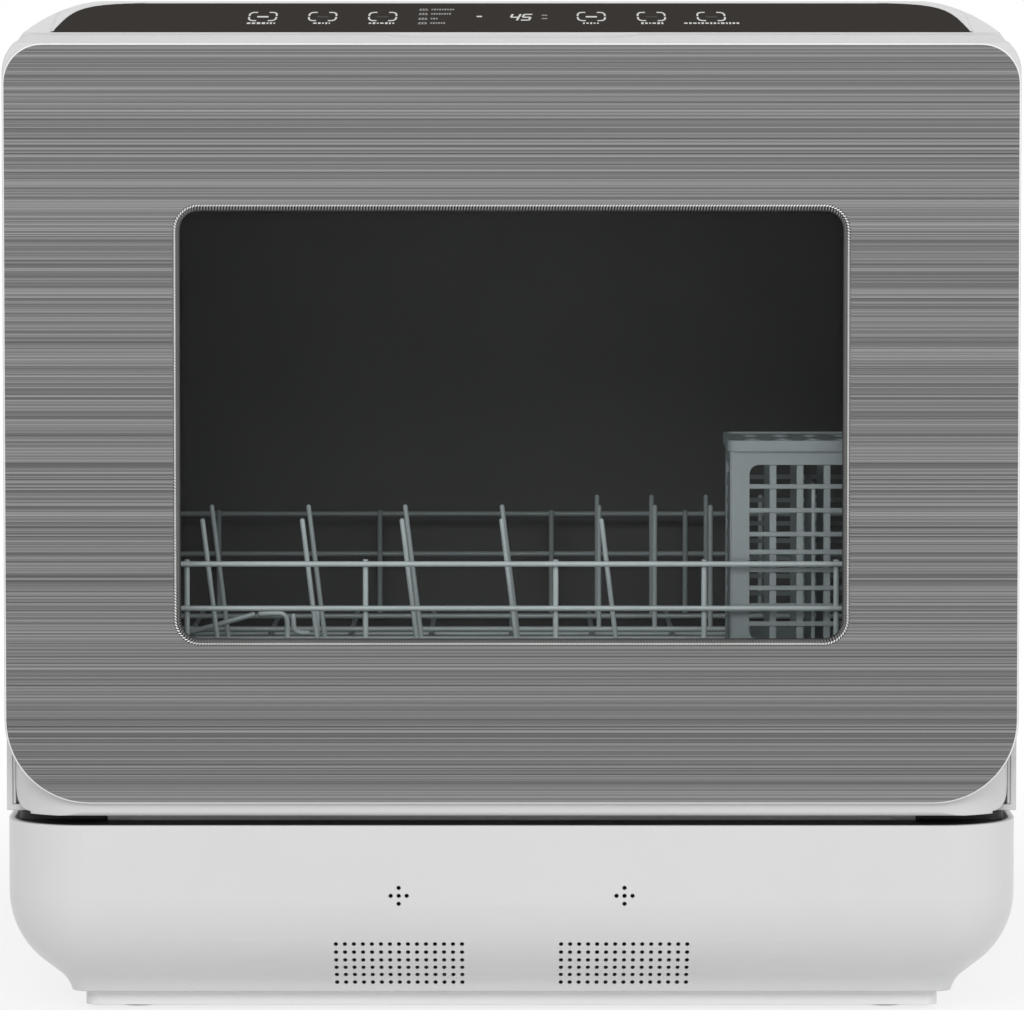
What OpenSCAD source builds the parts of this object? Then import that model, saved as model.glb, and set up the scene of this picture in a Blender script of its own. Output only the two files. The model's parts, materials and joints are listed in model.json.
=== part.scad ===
// Countertop dishwasher: a cabinet with a drop-down window door, a wire rack on wheels,
// a cutlery basket, and the wash, drain, fill and drying parts inside.
// Millimetres. +Z is up and the door faces -Y. The origin is on the worktop, under the middle.

/* [Cabinet] */
// Width across the base and the upper shell
body_w = 432; // [428:1:440]
// Height from the worktop to the flat top
body_h = 434; // [432:1:442]
// Depth from the door's face to the back
body_d = 405; // [403:1:420]
// How far the water connectors stand out behind the back
rear_reach = 15; // [12:1:25]
// Wall of the plastic shells
wall = 2.5; // [2:0.1:3]
// Upright corner radius of the cabinet, seen from above
corner_r = 34; // [33:0.5:36]
// Radius of the shoulders between the sides and the top
shoulder_r = 38; // [36:0.5:40]
// Radius between the top and the back
rear_top_r = 25; // [15:1:30]
// Height of the underside of the upper shell
shell_bottom = 87.6; // [87.2:0.1:88.4]
// Height of the ground gap under the plinth that the feet fill
foot_h = 2; // [1.5:0.1:4]

/* [Base] */
// Height of the base's top rim
base_top = 83.5; // [82:0.1:83.6]
// Height where the base's sides start to turn in
belly_z = 52; // [50:0.5:56]
// Radius of the belly below that height
belly_r = 38; // [36:0.5:40]
// Angle that the belly turns through
belly_turn = 52; // [48:1:54]
// Length of the straight slope below the belly
taper_len = 9; // [7:0.5:10]
// Radius of the hollow curve above the plinth
cove_r = 15; // [13:0.5:16]
// Height of the plinth's top
plinth_top = 8.7; // [8.5:0.1:10]
// How far the plinth stands in from the sides
plinth_inset = 32.5; // [30:0.5:33]
// Distance from the middle to each group of vent holes
vent_x = 48; // [44:1:60]
// Height of the five-hole crosses
cross_z = 53.5; // [52:0.5:60]
// Distance between the holes of a cross
cross_pitch = 3.4; // [3:0.1:5]
// Columns of holes in each grille under a cross
grille_columns = 15; // [9:2:15]
// Rows of holes in each grille
grille_rows = 6; // [3:1:6]
// Distance between the holes of a grille
grille_pitch = 3.84; // [3.6:0.02:4]
// Height of the grille's top row
grille_top_z = 32.1; // [31:0.1:33]
// Bore of every vent hole
vent_d = 1.8; // [1.4:0.1:2]

/* [Console] */
// How far the console's front edge lies below the top
console_drop = 14.1; // [11:0.1:15]
// Slope of the console in degrees
console_tilt = 9.6; // [9:0.1:12]
// Plate thickness under the console slope
console_wall = 5; // [4.5:0.1:6]
// Space between the control glass and the cabinet's side
glass_side_gap = 20; // [20:0.5:36]
// Depth of the control glass along the slope
glass_depth = 76; // [70:0.5:78]
// Thickness of the control glass
glass_t = 2.8; // [2:0.1:3.2]
// Rear corner radius of the control glass
glass_corner_r = 32; // [30:1:40]

/* [Door] */
// Thickness of the door
door_t = 23; // [22:0.5:26]
// Gap between the closed door and the cabinet
door_gap = 1.5; // [1.2:0.1:2.5]
// How far each side of the door stands in from the cabinet's side
door_side_inset = 1; // [0.5:0.1:2]
// How far the door's front top edge lies below the cabinet's top
door_drop = 18.5; // [18:0.5:24]
// Height of the film's lower edge
film_bottom = 94; // [93:0.5:97]
// Top corner radius of the door's face
door_top_r = 17; // [12:1:22]
// Bottom corner radius of the door's face
door_bottom_r = 36; // [30:1:40]
// White edge left round the film
film_inset = 0.9; // [0.6:0.1:2]
// Thickness of the brushed film panel
film_t = 1.2; // [1:0.1:1.5]
// How far the door's lower skirt stands behind the film
skirt_setback = 3; // [2.6:0.1:4]
// Height that the skirt reaches up behind the film
skirt_top = 138; // [134:1:142]
// Half width of the finger scoop in the door's top
scoop_half_w = 57.4; // [45:0.1:70]
// Depth of the finger scoop in the door's top
scoop_depth = 4; // [3:0.1:6]
// Height of the hinge axis over the door's lower edge
hinge_rise = 11; // [10.5:0.1:11.5]
// Depth of the hinge axis behind the door's face
hinge_setback = 13; // [12.5:0.1:13]
// Radius of the hinge pins
hinge_pin_r = 2.5; // [2:0.1:3]

/* [Window] */
// Space between the clear window and the cabinet's side
window_side_gap = 76; // [71:1:91]
// Space between the clear window and the door's top edge
window_top_gap = 70.9; // [68:0.1:85]
// Height of the window's lower edge
window_bottom = 163.6; // [160:0.5:175]
// Width of the silver bezel
bezel_w = 3; // [2:0.1:5]
// Corner radius of the clear window
window_r = 8; // [6:0.5:14]
// Thickness of each window pane
pane_t = 3; // [2.5:0.1:3.4]

/* [Tub] */
// Space between the tub's inside and the cabinet's side
tub_side_gap = 31; // [30.5:0.5:32]
// Height of the tub's floor
tub_floor = 112; // [111.8:0.1:113]
// Space between the tub's ceiling and the cabinet's top
tub_top_gap = 49; // [47:1:52]
// Space between the tub's back wall and the cabinet's back, for the tank
tub_back_gap = 45; // [43:1:50]
// Wall of the tub
tub_t = 2.5; // [2:0.1:2.6]
// Corner radius of the tub's section
tub_r = 14; // [10:1:15]

/* [Rack] */
// Wire of the rack's frame
wire_d = 2.4; // [2.2:0.1:2.5]
// Wire of the tines
tine_d = 2.2; // [2:0.1:2.3]
// Space between the rack's side wires and the tub's sides
rack_side_gap = 15; // [14.5:0.1:15.5]
// Gap from the door to the rack's front wire
rack_front_gap = 24; // [23:0.5:26]
// Gap from the rack's rear wire to the tub's back wall
rack_rear_gap = 17; // [14:0.5:22]
// Height of the rack's floor frame
rack_z = 146; // [145.5:0.1:147]
// Height of the middle rail over the floor frame
mid_rail_rise = 26.2; // [24:0.1:28]
// Height of the top rail over the floor frame
top_rail_rise = 45.4; // [42:0.1:48]
// Distance between the bowl tines
bowl_pitch = 43.5; // [40:0.5:46]
// Lean of the bowl tines in degrees
bowl_lean = 7; // [0:1:12]
// Height of the bowl tines
bowl_tine_h = 60; // [50:1:70]
// Distance between the plate tines
plate_pitch = 25.5; // [22:0.5:27]
// Height of the plate tines
plate_tine_h = 56; // [40:1:70]
// Radius of the rack's wheels
wheel_r = 9; // [8.5:0.1:9.2]
// Thickness of the rack's wheels
wheel_t = 5; // [4:0.5:5]

/* [Cutlery basket] */
// Width of the basket
basket_w = 71.9; // [62:0.1:73]
// Depth of the basket
basket_d = 63; // [58:1:66]
// Height of the basket without its lid
basket_h = 90; // [85:1:95]
// Wall of the basket
basket_t = 2; // [1.6:0.1:2.4]
// Distance between the upright bars
bar_pitch = 11.65; // [10:0.05:13]
// Width of the upright bars
bar_w = 2.9; // [2:0.1:3.5]

/* [Wash parts] */
// Distance of the spray arms' axis behind the tub's mouth
arm_setback = 167; // [164:1:169]
// Space left between the turning lower arm's tips and the tub
arm_tip_gap = 17; // [15:1:25]
// Length of the upper spray arm
upper_arm_len = 240; // [200:1:280]
// Distance of the sump's middle behind the tub's mouth
sump_setback = 75; // [74:0.5:76]
// Radius of the sump's mouth
sump_r = 38; // [36:1:42]
// Radius of the inlet's thread
inlet_r = 13.2; // [12:0.1:14]
// Radius of the drain's spigot
drain_r = 8; // [7:0.1:9]
// Radial clearance of every turning or sliding fit
run_fit = 0.05; // [0.02:0.01:0.1]

/* [Hidden] */
$fn = 64;

// Overlap that makes a cut run past the face it opens
cut = 1;
// Gap left between pieces that only stand close together
gap = 0.3;
// Radial room of pieces seated in a hole
seat = 0.1;

// Main planes of the cabinet
front_y = -(body_d + rear_reach) / 2;
back_y = front_y + body_d;
door_back = front_y + door_t;
shell_front = door_back + door_gap;
flange_front = shell_front + 1.5;
console_front_z = body_h - console_drop;
door_top = body_h - door_drop;
half_w = body_w / 2;
glass_half_w = half_w - glass_side_gap;
window_w = body_w - 2 * window_side_gap;
window_h = door_top - window_top_gap - window_bottom;
door_half_w = half_w - door_side_inset;
hinge_y = front_y + hinge_setback;
hinge_z = shell_bottom + hinge_rise;
back_face = hinge_setback - door_t;

// Tub
tub_w = body_w - 2 * tub_side_gap;
tub_half_w = tub_w / 2;
tub_ceiling = body_h - tub_top_gap;
tub_back = back_y - tub_back_gap;
flange_t = 2;
flange_edge = 12;

// Rack
rack_half_w = tub_half_w - rack_side_gap;
rack_front = door_back + rack_front_gap;
rack_back = tub_back - rack_rear_gap;
rack_len = rack_back - rack_front;
mid_rail_z = rack_z + mid_rail_rise;
top_rail_z = rack_z + top_rail_rise;
weld = 0.4;
wire_step = wire_d - weld;
track_lip_z = tub_floor + 10;
wheel_z = track_lip_z + gap + wheel_r;
wheel_front_y = rack_front + 48;
wheel_rear_y = rack_back - 22;
wheel_inner_x = rack_half_w + 5;
track_inner_x = tub_half_w - 11;
axle_r = 2;

// Spray arms
arm_y = flange_front + arm_setback;
lower_arm_len = 2 * (min(arm_setback, tub_back - arm_y, tub_half_w) - arm_tip_gap);
arm_t = 8;
lower_arm_z = tub_floor + 13.5;
upper_arm_z = tub_ceiling - 20;
spigot_r = 6;
sump_y = flange_front + sump_setback;

// Cutlery basket
basket_x = rack_half_w - wire_step - wire_d / 2 - 2 * gap - basket_w;
basket_y = rack_front + wire_d / 2 + wire_d + 0.6;
basket_z = rack_z + wire_step + wire_d / 2 + gap;

// ---------- Shared forms ----------

// Square corner with a round bite, for rounding a corner that points down and left
module corner_cut(r) {
    difference() {
        translate([-cut, -cut]) square(r + cut);
        translate([r, r]) circle(r);
    }
}

// Upright rectangle from z0 to z1 with its own radii at the bottom and at the top
module upright_rect(w, z0, z1, r_low, r_high) {
    difference() {
        translate([-w / 2, z0]) square([w, z1 - z0]);
        for (side = [0, 1]) mirror([side, 0]) {
            if (r_low > 0) translate([-w / 2, z0]) corner_cut(r_low);
            if (r_high > 0) translate([-w / 2, z1]) mirror([0, 1]) corner_cut(r_high);
        }
    }
}

// Plan rectangle from y0 to y1 with front and rear corner radii
module plan_rect(w, y0, y1, r_front, r_rear) {
    upright_rect(w, y0, y1, r_front, r_rear);
}

// Stands a drawing of X and Z up and gives it depth from y0 to y1
module along_y(y0, y1) {
    translate([0, y1, 0]) rotate([90, 0, 0]) linear_extrude(y1 - y0) children();
}

// Stands a drawing of Y and Z up and gives it width from x0 to x1
module along_x(x0, x1) {
    translate([x0, 0, 0]) rotate([90, 0, 90]) linear_extrude(x1 - x0) children();
}

// Lays a drawing of X and Y flat from z0 to z1
module along_z(z0, z1) {
    translate([0, 0, z0]) linear_extrude(z1 - z0) children();
}

module rod_x(x0, x1, y, z, r) {
    translate([x0, y, z]) rotate([0, 90, 0]) cylinder(r = r, h = x1 - x0);
}

module rod_y(x, y0, y1, z, r) {
    translate([x, y1, z]) rotate([90, 0, 0]) cylinder(r = r, h = y1 - y0);
}

module rod_z(x, y, z0, z1, r) {
    translate([x, y, z0]) cylinder(r = r, h = z1 - z0);
}

// Both sides of the machine
module both_sides() {
    children();
    mirror([1, 0, 0]) children();
}

// Carries a profile round a rounded rectangle; the profile's X is measured outwards from
// the line through the corner centres
module plan_sweep(w, y0, y1, r) {
    reach = w / 2 - r;
    low = y0 + r;
    high = y1 - r;
    translate([reach, high, 0]) rotate_extrude(angle = 90) children();
    translate([-reach, high, 0]) rotate([0, 0, 90]) rotate_extrude(angle = 90) children();
    translate([-reach, low, 0]) rotate([0, 0, 180]) rotate_extrude(angle = 90) children();
    translate([reach, low, 0]) rotate([0, 0, 270]) rotate_extrude(angle = 90) children();
    for (side = [0, 1]) mirror([side, 0, 0])
        translate([reach, high, 0]) rotate([90, 0, 0]) linear_extrude(high - low) children();
    translate([-reach, high, 0]) rotate([90, 0, 90]) linear_extrude(2 * reach) children();
    mirror([0, 1, 0]) translate([-reach, -low, 0])
        rotate([90, 0, 90]) linear_extrude(2 * reach) children();
}

// Small round-headed screw along its own +Z, with the underside of its head at zero
module screw(shaft_r, shaft_len, head_r, head_h) {
    cylinder(r = head_r, h = head_h);
    translate([0, 0, -shaft_len]) cylinder(r = shaft_r, h = shaft_len);
}

// ---------- Base ----------

belly_end = [corner_r - belly_r + belly_r * cos(belly_turn), belly_z - belly_r * sin(belly_turn)];
taper_dir = [-sin(belly_turn), -cos(belly_turn)];
taper_end = belly_end + taper_len * taper_dir;
cove_centre = taper_end + cove_r * [cos(belly_turn), -sin(belly_turn)];

// Half section of the base, thinned by t all along its outside
module base_section(t, z_low, z_high) {
    belly_foot = [corner_r - belly_r + (belly_r - t) * cos(belly_turn),
                  belly_z - (belly_r - t) * sin(belly_turn)];
    cove_head = cove_centre + (cove_r + t) * [-cos(belly_turn), sin(belly_turn)];
    translate([0, belly_z]) square([corner_r - t, z_high - belly_z]);
    intersection() {
        translate([corner_r - belly_r, belly_z]) circle(belly_r - t);
        translate([0, belly_foot[1]]) square([corner_r, belly_z - belly_foot[1]]);
    }
    difference() {
        polygon([[0, z_low], [0, belly_foot[1]], belly_foot, cove_head, [cove_head[0], z_low]]);
        translate(cove_centre) circle(cove_r + t);
    }
}

deck_z = base_top - 2.5;
lip_w = 9;

module base_wall_section() {
    difference() {
        base_section(0, plinth_top, base_top);
        base_section(wall, plinth_top - cut, base_top + cut);
    }
    translate([corner_r - wall - lip_w, deck_z - wall]) square([lip_w + wall / 2, wall]);
    translate([0, plinth_top]) square([corner_r - plinth_inset + 5, wall]);
}

// Holes of one front vent: a cross of five above
module vent_cross(x) {
    for (step = [[0, 0], [1, 0], [-1, 0], [0, 1], [0, -1]])
        rod_y(x + step[0] * cross_pitch, front_y - cut, front_y + 12,
              cross_z + step[1] * cross_pitch, vent_d / 2);
}

// Straight bores of one grille, as columns and rows about its middle
module vent_grille(x) {
    for (i = [0 : grille_columns - 1], j = [0 : grille_rows - 1])
        rod_y(x + (i - (grille_columns - 1) / 2) * grille_pitch, front_y - cut, front_y + 40,
              grille_top_z - j * grille_pitch, vent_d / 2, $fn = 12);
}

module base_shell() {
    color([0.86, 0.86, 0.86])
    difference() {
        plan_sweep(body_w, front_y + skirt_setback, back_y, corner_r) base_wall_section();
        for (x = [-vent_x, vent_x]) {
            vent_cross(x);
            vent_grille(x);
        }
    }
}

plinth_half_w = half_w - plinth_inset;
plinth_front = front_y + skirt_setback + plinth_inset;
plinth_back = back_y - plinth_inset;
plinth_r = 6;

module base_plate() {
    color([0.83, 0.83, 0.83])
    difference() {
        along_z(foot_h, plinth_top)
            plan_rect(2 * plinth_half_w, plinth_front, plinth_back, plinth_r, plinth_r);
        along_z(foot_h + wall, plinth_top + cut)
            plan_rect(2 * (plinth_half_w - wall), plinth_front + wall, plinth_back - wall,
                      plinth_r - wall, plinth_r - wall);
    }
}

foot_r = 11;

module rubber_feet() {
    color([0.12, 0.12, 0.12])
    both_sides()
        for (y = [plinth_front + 22, plinth_back - 22])
            rod_z(plinth_half_w - 22, y, 0, foot_h, foot_r);
}

ring_inset = 5;
ring_w = 4;
deck_front = front_y + skirt_setback + wall;

module shadow_trim() {
    side = half_w - wall;
    ring = half_w - ring_inset;
    color([0.08, 0.08, 0.08]) {
        difference() {
            along_z(deck_z, base_top)
                plan_rect(2 * side, deck_front, back_y - wall, corner_r - wall, corner_r - wall);
            along_z(deck_z - cut, base_top + cut)
                plan_rect(2 * (side - 70), deck_front + 45, back_y - wall - 30, 12, 12);
        }
        difference() {
            along_z(base_top, shell_bottom)
                plan_rect(2 * ring, shell_front + 1, back_y - ring_inset, 8, corner_r - ring_inset);
            along_z(base_top - cut, shell_bottom + cut)
                plan_rect(2 * (ring - ring_w), shell_front + 1 + ring_w,
                          back_y - ring_inset - ring_w, 4, corner_r - ring_inset - ring_w);
        }
    }
}

strip_half_w = half_w - 43.2;

module gap_strip() {
    color([0.25, 0.25, 0.25])
    translate([-strip_half_w, shell_front - 1.6, base_top])
        cube([2 * strip_half_w, 2.6, shell_bottom - base_top - 1]);
}

// ---------- Upper shell, rear panel and console ----------

// Side view of the cabinet above the gap, thinned by t, with front left open by reach
module cabinet_side(t, slope_t, z_low, y_front) {
    drop = slope_t / cos(console_tilt);
    top = body_h - t;
    slope_end = shell_front + (top - console_front_z + drop) / tan(console_tilt);
    front_z = console_front_z - drop - (shell_front - y_front) * tan(console_tilt);
    difference() {
        polygon([[y_front, z_low], [back_y - t, z_low], [back_y - t, top], [slope_end, top],
                 [y_front, front_z]]);
        translate([back_y - t, top]) mirror([1, 0]) mirror([0, 1]) corner_cut(rear_top_r - t);
    }
}

module cabinet_solid(t, slope_t, z_low, y_front) {
    intersection() {
        along_x(-half_w, half_w) cabinet_side(t, slope_t, z_low, y_front);
        along_y(y_front - cut, back_y + cut)
            upright_rect(body_w - 2 * t, z_low - cut, body_h - t, 0, shoulder_r - t);
        along_z(z_low - cut, body_h + cut)
            plan_rect(body_w - 2 * t, y_front - cut, back_y - t, 0, corner_r - t);
    }
}

// Moves a shape onto the console's slope: X across, Y up the slope, Z out of it
module on_console() {
    translate([0, shell_front, console_front_z]) rotate([console_tilt, 0, 0]) children();
}

glass_lip = 1;
pocket_depth = glass_t - 0.3;
board_half_w = 122;
board_low = 14;
board_high = 62;
board_ledge = 4;

module glass_outline(fit) {
    plan_rect(2 * (glass_half_w + fit), glass_lip - fit, glass_lip + glass_depth + fit, 2,
              glass_corner_r);
}

panel_half_w = half_w - 48;
panel_low = shell_bottom + 16.4;
panel_high = body_h - 38;
panel_flange = 8;
panel_t = 2;
collar_x = 110;
collar_y = back_y - 75;
collar_r = 27;
screw_inset = 48;

module rear_opening(fit) {
    upright_rect(2 * (panel_half_w - fit), panel_low + fit, panel_high - fit, 10, 10);
}

// Places of the rear panel's screws, as X and Z
function panel_screw_places() = concat(
    [for (i = [-1, 0, 1]) [i * (panel_half_w - screw_inset), panel_low - panel_flange / 2]],
    [for (i = [-1, 0, 1]) [i * (panel_half_w - screw_inset), panel_high + panel_flange / 2]],
    [for (s = [-1, 1], i = [1 : 3]) [s * (panel_half_w + panel_flange / 2),
                                     panel_low + i * (panel_high - panel_low) / 4]]
);

module panel_screw_holes(y0, y1) {
    for (p = panel_screw_places()) rod_y(p[0], y0, y1, p[1], 1.5);
}

module upper_shell() {
    color([0.88, 0.88, 0.88])
    difference() {
        union() {
            difference() {
                cabinet_solid(0, 0, shell_bottom, shell_front);
                cabinet_solid(wall, console_wall, shell_bottom - cut, shell_front - 4);
            }
            difference() {
                along_z(shell_bottom, shell_bottom + wall)
                    plan_rect(body_w - wall, shell_front, back_y - wall / 2, 0,
                              corner_r - wall / 2);
                along_z(shell_bottom - cut, shell_bottom + wall + cut)
                    plan_rect(body_w - 2 * (ring_inset + ring_w), shell_front - cut,
                              back_y - ring_inset - ring_w, 0, corner_r - ring_inset - ring_w);
            }
        }
        on_console() translate([0, 0, -pocket_depth]) linear_extrude(20) glass_outline(0);
        on_console() translate([0, 0, -20]) linear_extrude(30)
            plan_rect(2 * (board_half_w - board_ledge), board_low + board_ledge,
                      board_high - board_ledge, 3, 3);
        along_y(back_y - wall - cut, back_y + cut) rear_opening(0);
        panel_screw_holes(back_y - wall - cut, back_y + cut);
        rod_z(collar_x, collar_y, body_h - wall - cut, body_h + cut, collar_r);
    }
}

louvre_x = -30;

module rear_panel() {
    color([0.8, 0.8, 0.8])
    difference() {
        union() {
            along_y(back_y - wall - panel_t, back_y - wall)
                upright_rect(2 * (panel_half_w + panel_flange), panel_low - panel_flange,
                             panel_high + panel_flange, 12, 12);
            along_y(back_y - wall - panel_t, back_y) rear_opening(gap);
        }
        panel_screw_holes(back_y - wall - panel_t - cut, back_y + cut);
        rod_y(inlet_x, back_y - 10, back_y + cut, port_z, inlet_r - 1.4 + seat);
        rod_y(drain_x, back_y - 10, back_y + cut, port_z, drain_r - 1.6 + seat);
        rod_y(gland_x, back_y - 10, back_y + cut, port_z, gland_r - 1.5 + seat);
        along_y(back_y - 10, back_y + cut)
            translate([louvre_x, 0]) upright_rect(vent_w - 8 + 2 * seat, vent_low + 4 - seat,
                                                  vent_high - 4 + seat, 3, 3);
    }
}

module cabinet_screws() {
    color([0.6, 0.6, 0.62])
    for (p = panel_screw_places())
        translate([p[0], back_y, p[1]]) rotate([-90, 0, 0]) screw(1.5, wall + panel_t, 2.8, 1.6);
}

module control_glass() {
    color([0.1, 0.09, 0.09])
    on_console() translate([0, 0, -pocket_depth]) linear_extrude(glass_t) glass_outline(-0.15);
}

module control_board() {
    color([0.1, 0.3, 0.15])
    on_console() {
        translate([0, 0, -console_wall - 1.6]) linear_extrude(1.6)
            plan_rect(2 * board_half_w, board_low, board_high, 2, 2);
        for (x = [-90, -60, -30, 60, 90])
            translate([x - 6, 34, -console_wall]) cube([12, 8, console_wall - pocket_depth - gap]);
    }
}

// ---------- Tub and what it carries ----------

module tub_section(grow) {
    upright_rect(tub_w + 2 * grow, tub_floor - grow, tub_ceiling + grow, tub_r + grow, tub_r + grow);
}

leg_r = 7;
duct_y = 60;
duct_z = tub_ceiling - 65;
float_x = tub_half_w - 45;
float_y = flange_front + 34;
float_r = 12;

module tub() {
    color([0.2, 0.2, 0.21])
    difference() {
        union() {
            along_y(flange_front, tub_back + tub_t) tub_section(tub_t);
            along_y(flange_front, flange_front + flange_t)
                upright_rect(2 * (tub_half_w + flange_edge + 8), tub_floor - flange_edge,
                             tub_ceiling + flange_edge, 14, 26);
            both_sides() for (y = [arm_y - 115, arm_y + 115])
                rod_z(tub_half_w - 20 - leg_r, y, base_top, tub_floor, leg_r);
        }
        along_y(flange_front - cut, tub_back) tub_section(0);
        rod_z(0, sump_y, tub_floor - tub_t - cut, tub_floor + cut, sump_r);
        rod_z(0, arm_y, tub_floor - tub_t - cut, tub_floor + cut, hub_r + seat);
        rod_z(0, arm_y, tub_ceiling - cut, tub_ceiling + tub_t + cut, pipe_r + seat);
        rod_z(float_x, float_y, tub_floor - tub_t - cut, tub_floor + cut, 4);
        for (i = [-2 : 2])
            translate([-tub_half_w - tub_t - cut, duct_y - 12, duct_z + 8 * i - 1.5])
                cube([tub_t + 2 * cut, 24, 3]);
    }
}

gasket_w = 7;

module door_gasket() {
    color([0.15, 0.15, 0.15])
    difference() {
        along_y(door_back + gap, flange_front) tub_section(gasket_w + 3);
        along_y(door_back - cut, flange_front + cut) tub_section(3);
    }
}

track_t = 2;
track_back = rack_back + 6;

module track_section() {
    lid_z = wheel_z + wheel_r + 1.2;
    translate([tub_half_w - track_t, track_lip_z - track_t])
        square([track_t, lid_z + 2 * track_t - track_lip_z]);
    translate([track_inner_x, track_lip_z - track_t]) square([tub_half_w - track_inner_x, track_t]);
    translate([track_inner_x, lid_z]) square([tub_half_w - track_inner_x, track_t]);
}

module rack_tracks() {
    color([0.45, 0.47, 0.48])
    both_sides() intersection() {
        along_y(flange_front + 3, track_back) track_section();
        along_y(flange_front, tub_back) tub_section(0);
    }
}

hinge_x = half_w - 40;
bracket_t = 4;

// Brackets that carry the door, each with the bore of its hinge pin
module hinge_brackets() {
    eye_r = hinge_pin_r + 3.5;
    color([0.6, 0.6, 0.62])
    both_sides() difference() {
        along_x(hinge_x - bracket_t / 2, hinge_x + bracket_t / 2) {
            translate([hinge_y, hinge_z]) circle(eye_r);
            translate([hinge_y, hinge_z - eye_r])
                square([flange_front - hinge_y + 20, eye_r + hinge_pin_r]);
            translate([shell_front + 1 + ring_w, base_top]) square([16, hinge_z - base_top]);
        }
        rod_x(hinge_x - bracket_t, hinge_x + bracket_t, hinge_y, hinge_z, hinge_pin_r + run_fit);
        translate([hinge_x - bracket_t, flange_front, tub_floor - flange_edge])
            cube([2 * bracket_t, flange_t, flange_edge]);
    }
}

latch_half_w = 17;
latch_z = tub_ceiling + flange_edge + 6;
strike_half_w = 8;
strike_t = 2;
strike_len = 12;

// Catch box over the tub's mouth, with the slot that the door's strike enters
module latch_housing() {
    low = tub_ceiling + tub_t;
    color([0.2, 0.2, 0.2])
    difference() {
        translate([-latch_half_w, flange_front + flange_t, low])
            cube([2 * latch_half_w, 30, latch_z + 9 - low]);
        translate([-strike_half_w - 2, flange_front, latch_z - 3])
            cube([2 * strike_half_w + 4, 22, strike_t + 7]);
    }
}

// ---------- Wash circuit ----------

hub_r = 13;
pipe_r = 8;
pipe_x = half_w - 17;
pump_x = -62;
pump_y = 40;
pump_z = 48;
volute_r = 30;
volute_t = 26;
motor_r = 26;
motor_len = 62;
sump_floor = plinth_top + 32;

module sump() {
    color([0.3, 0.31, 0.32])
    difference() {
        union() {
            rod_z(0, sump_y, sump_floor, tub_floor - tub_t, sump_r + 3);
            rod_z(0, sump_y, tub_floor - tub_t - 3, tub_floor - tub_t, sump_r + 10);
            rod_x(-sump_r - 14, 0, sump_y, sump_floor + 14, 9);
        }
        rod_z(0, sump_y, sump_floor + 3, tub_floor, sump_r);
        rod_x(-sump_r - 15, 0, sump_y, sump_floor + 14, 6.5);
    }
}

plate_r = 62;

module filter_plate() {
    color([0.65, 0.66, 0.67])
    difference() {
        rod_z(0, sump_y, tub_floor, tub_floor + 1, plate_r);
        rod_z(0, sump_y, tub_floor - cut, tub_floor + 2, sump_r - 6);
        for (ring = [0 : 1], i = [0 : 23])
            translate([0, sump_y, tub_floor - cut]) rotate(15 * i + 7.5 * ring)
                translate([sump_r + 6 + 9 * ring, 0, 0]) cylinder(r = 1.6, h = 3);
    }
}

filter_r = sump_r - 12;

module micro_filter() {
    color([0.7, 0.71, 0.72])
    difference() {
        rod_z(0, sump_y, sump_floor + 3, tub_floor - 14, filter_r + 4);
        rod_z(0, sump_y, sump_floor + 2, tub_floor - 13, filter_r + 3);
    }
}

// Twist-out coarse filter with a bar to hold it by
module filter_cup() {
    color([0.55, 0.58, 0.6]) {
        difference() {
            rod_z(0, sump_y, sump_floor + 8, tub_floor + 1, filter_r);
            rod_z(0, sump_y, sump_floor + 10, tub_floor + 2, filter_r - 2);
            for (turn = [0 : 5], level = [0 : 3])
                translate([0, sump_y, sump_floor + 18 + 12 * level]) rotate(60 * turn)
                    translate([0, -4, 0]) cube([filter_r + 2, 8, 6]);
        }
        translate([-filter_r + 1, sump_y - 2, tub_floor - 8]) cube([2 * filter_r - 2, 4, 14]);
    }
}

module lower_arm_hub() {
    color([0.4, 0.42, 0.43])
    difference() {
        union() {
            rod_z(0, arm_y, tub_floor - 20, tub_floor + 9, hub_r);
            rod_z(0, arm_y, tub_floor + 8, lower_arm_z + arm_t + gap, spigot_r);
            rod_z(0, arm_y, lower_arm_z + arm_t + gap, lower_arm_z + arm_t + 3, spigot_r + 4);
        }
        rod_z(0, arm_y, tub_floor - 21, lower_arm_z, spigot_r - 2);
    }
}

// Curved two-winged arm round its own middle, with a row of jets on each wing
module spray_arm(len, jets) {
    tip_r = 8;
    root_r = 19;
    wing = len / 2 - tip_r;
    difference() {
        union() {
            cylinder(r = root_r, h = arm_t);
            for (turn = [0, 180]) rotate(turn) {
                linear_extrude(arm_t)
                    polygon([[0, root_r - 3], [wing, tip_r], [wing, -tip_r], [0, 5 - root_r]]);
                translate([wing, 0, 0]) cylinder(r = tip_r - 0.01, h = arm_t);
            }
        }
        translate([0, 0, -cut]) cylinder(r = spigot_r + run_fit, h = arm_t + 2 * cut);
        for (turn = [0, 180], i = [1 : jets]) rotate(turn)
            translate([root_r + i * (wing - root_r) / jets, 3 - i % 2 * 6, arm_t / 2])
                cylinder(r = 1.4, h = arm_t);
    }
}

module lower_spray_arm() {
    color([0.55, 0.58, 0.6])
    translate([0, arm_y, lower_arm_z]) rotate(28) spray_arm(lower_arm_len, 6);
}

module upper_spray_arm() {
    color([0.55, 0.58, 0.6])
    translate([0, arm_y, upper_arm_z]) rotate(-20) translate([0, 0, arm_t]) mirror([0, 0, 1])
        spray_arm(upper_arm_len, 5);
}

module wash_pump_housing() {
    color([0.25, 0.25, 0.26])
    difference() {
        union() {
            rod_x(pump_x - volute_t / 2, pump_x + volute_t / 2, pump_y, pump_z, volute_r);
            translate([pump_x - 8, pump_y - 24, foot_h + wall])
                cube([16, 48, pump_z - plinth_top]);
        }
        rod_x(pump_x + volute_t / 2 - 6, pump_x + volute_t / 2 + cut, pump_y, pump_z, 8);
    }
}

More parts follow.
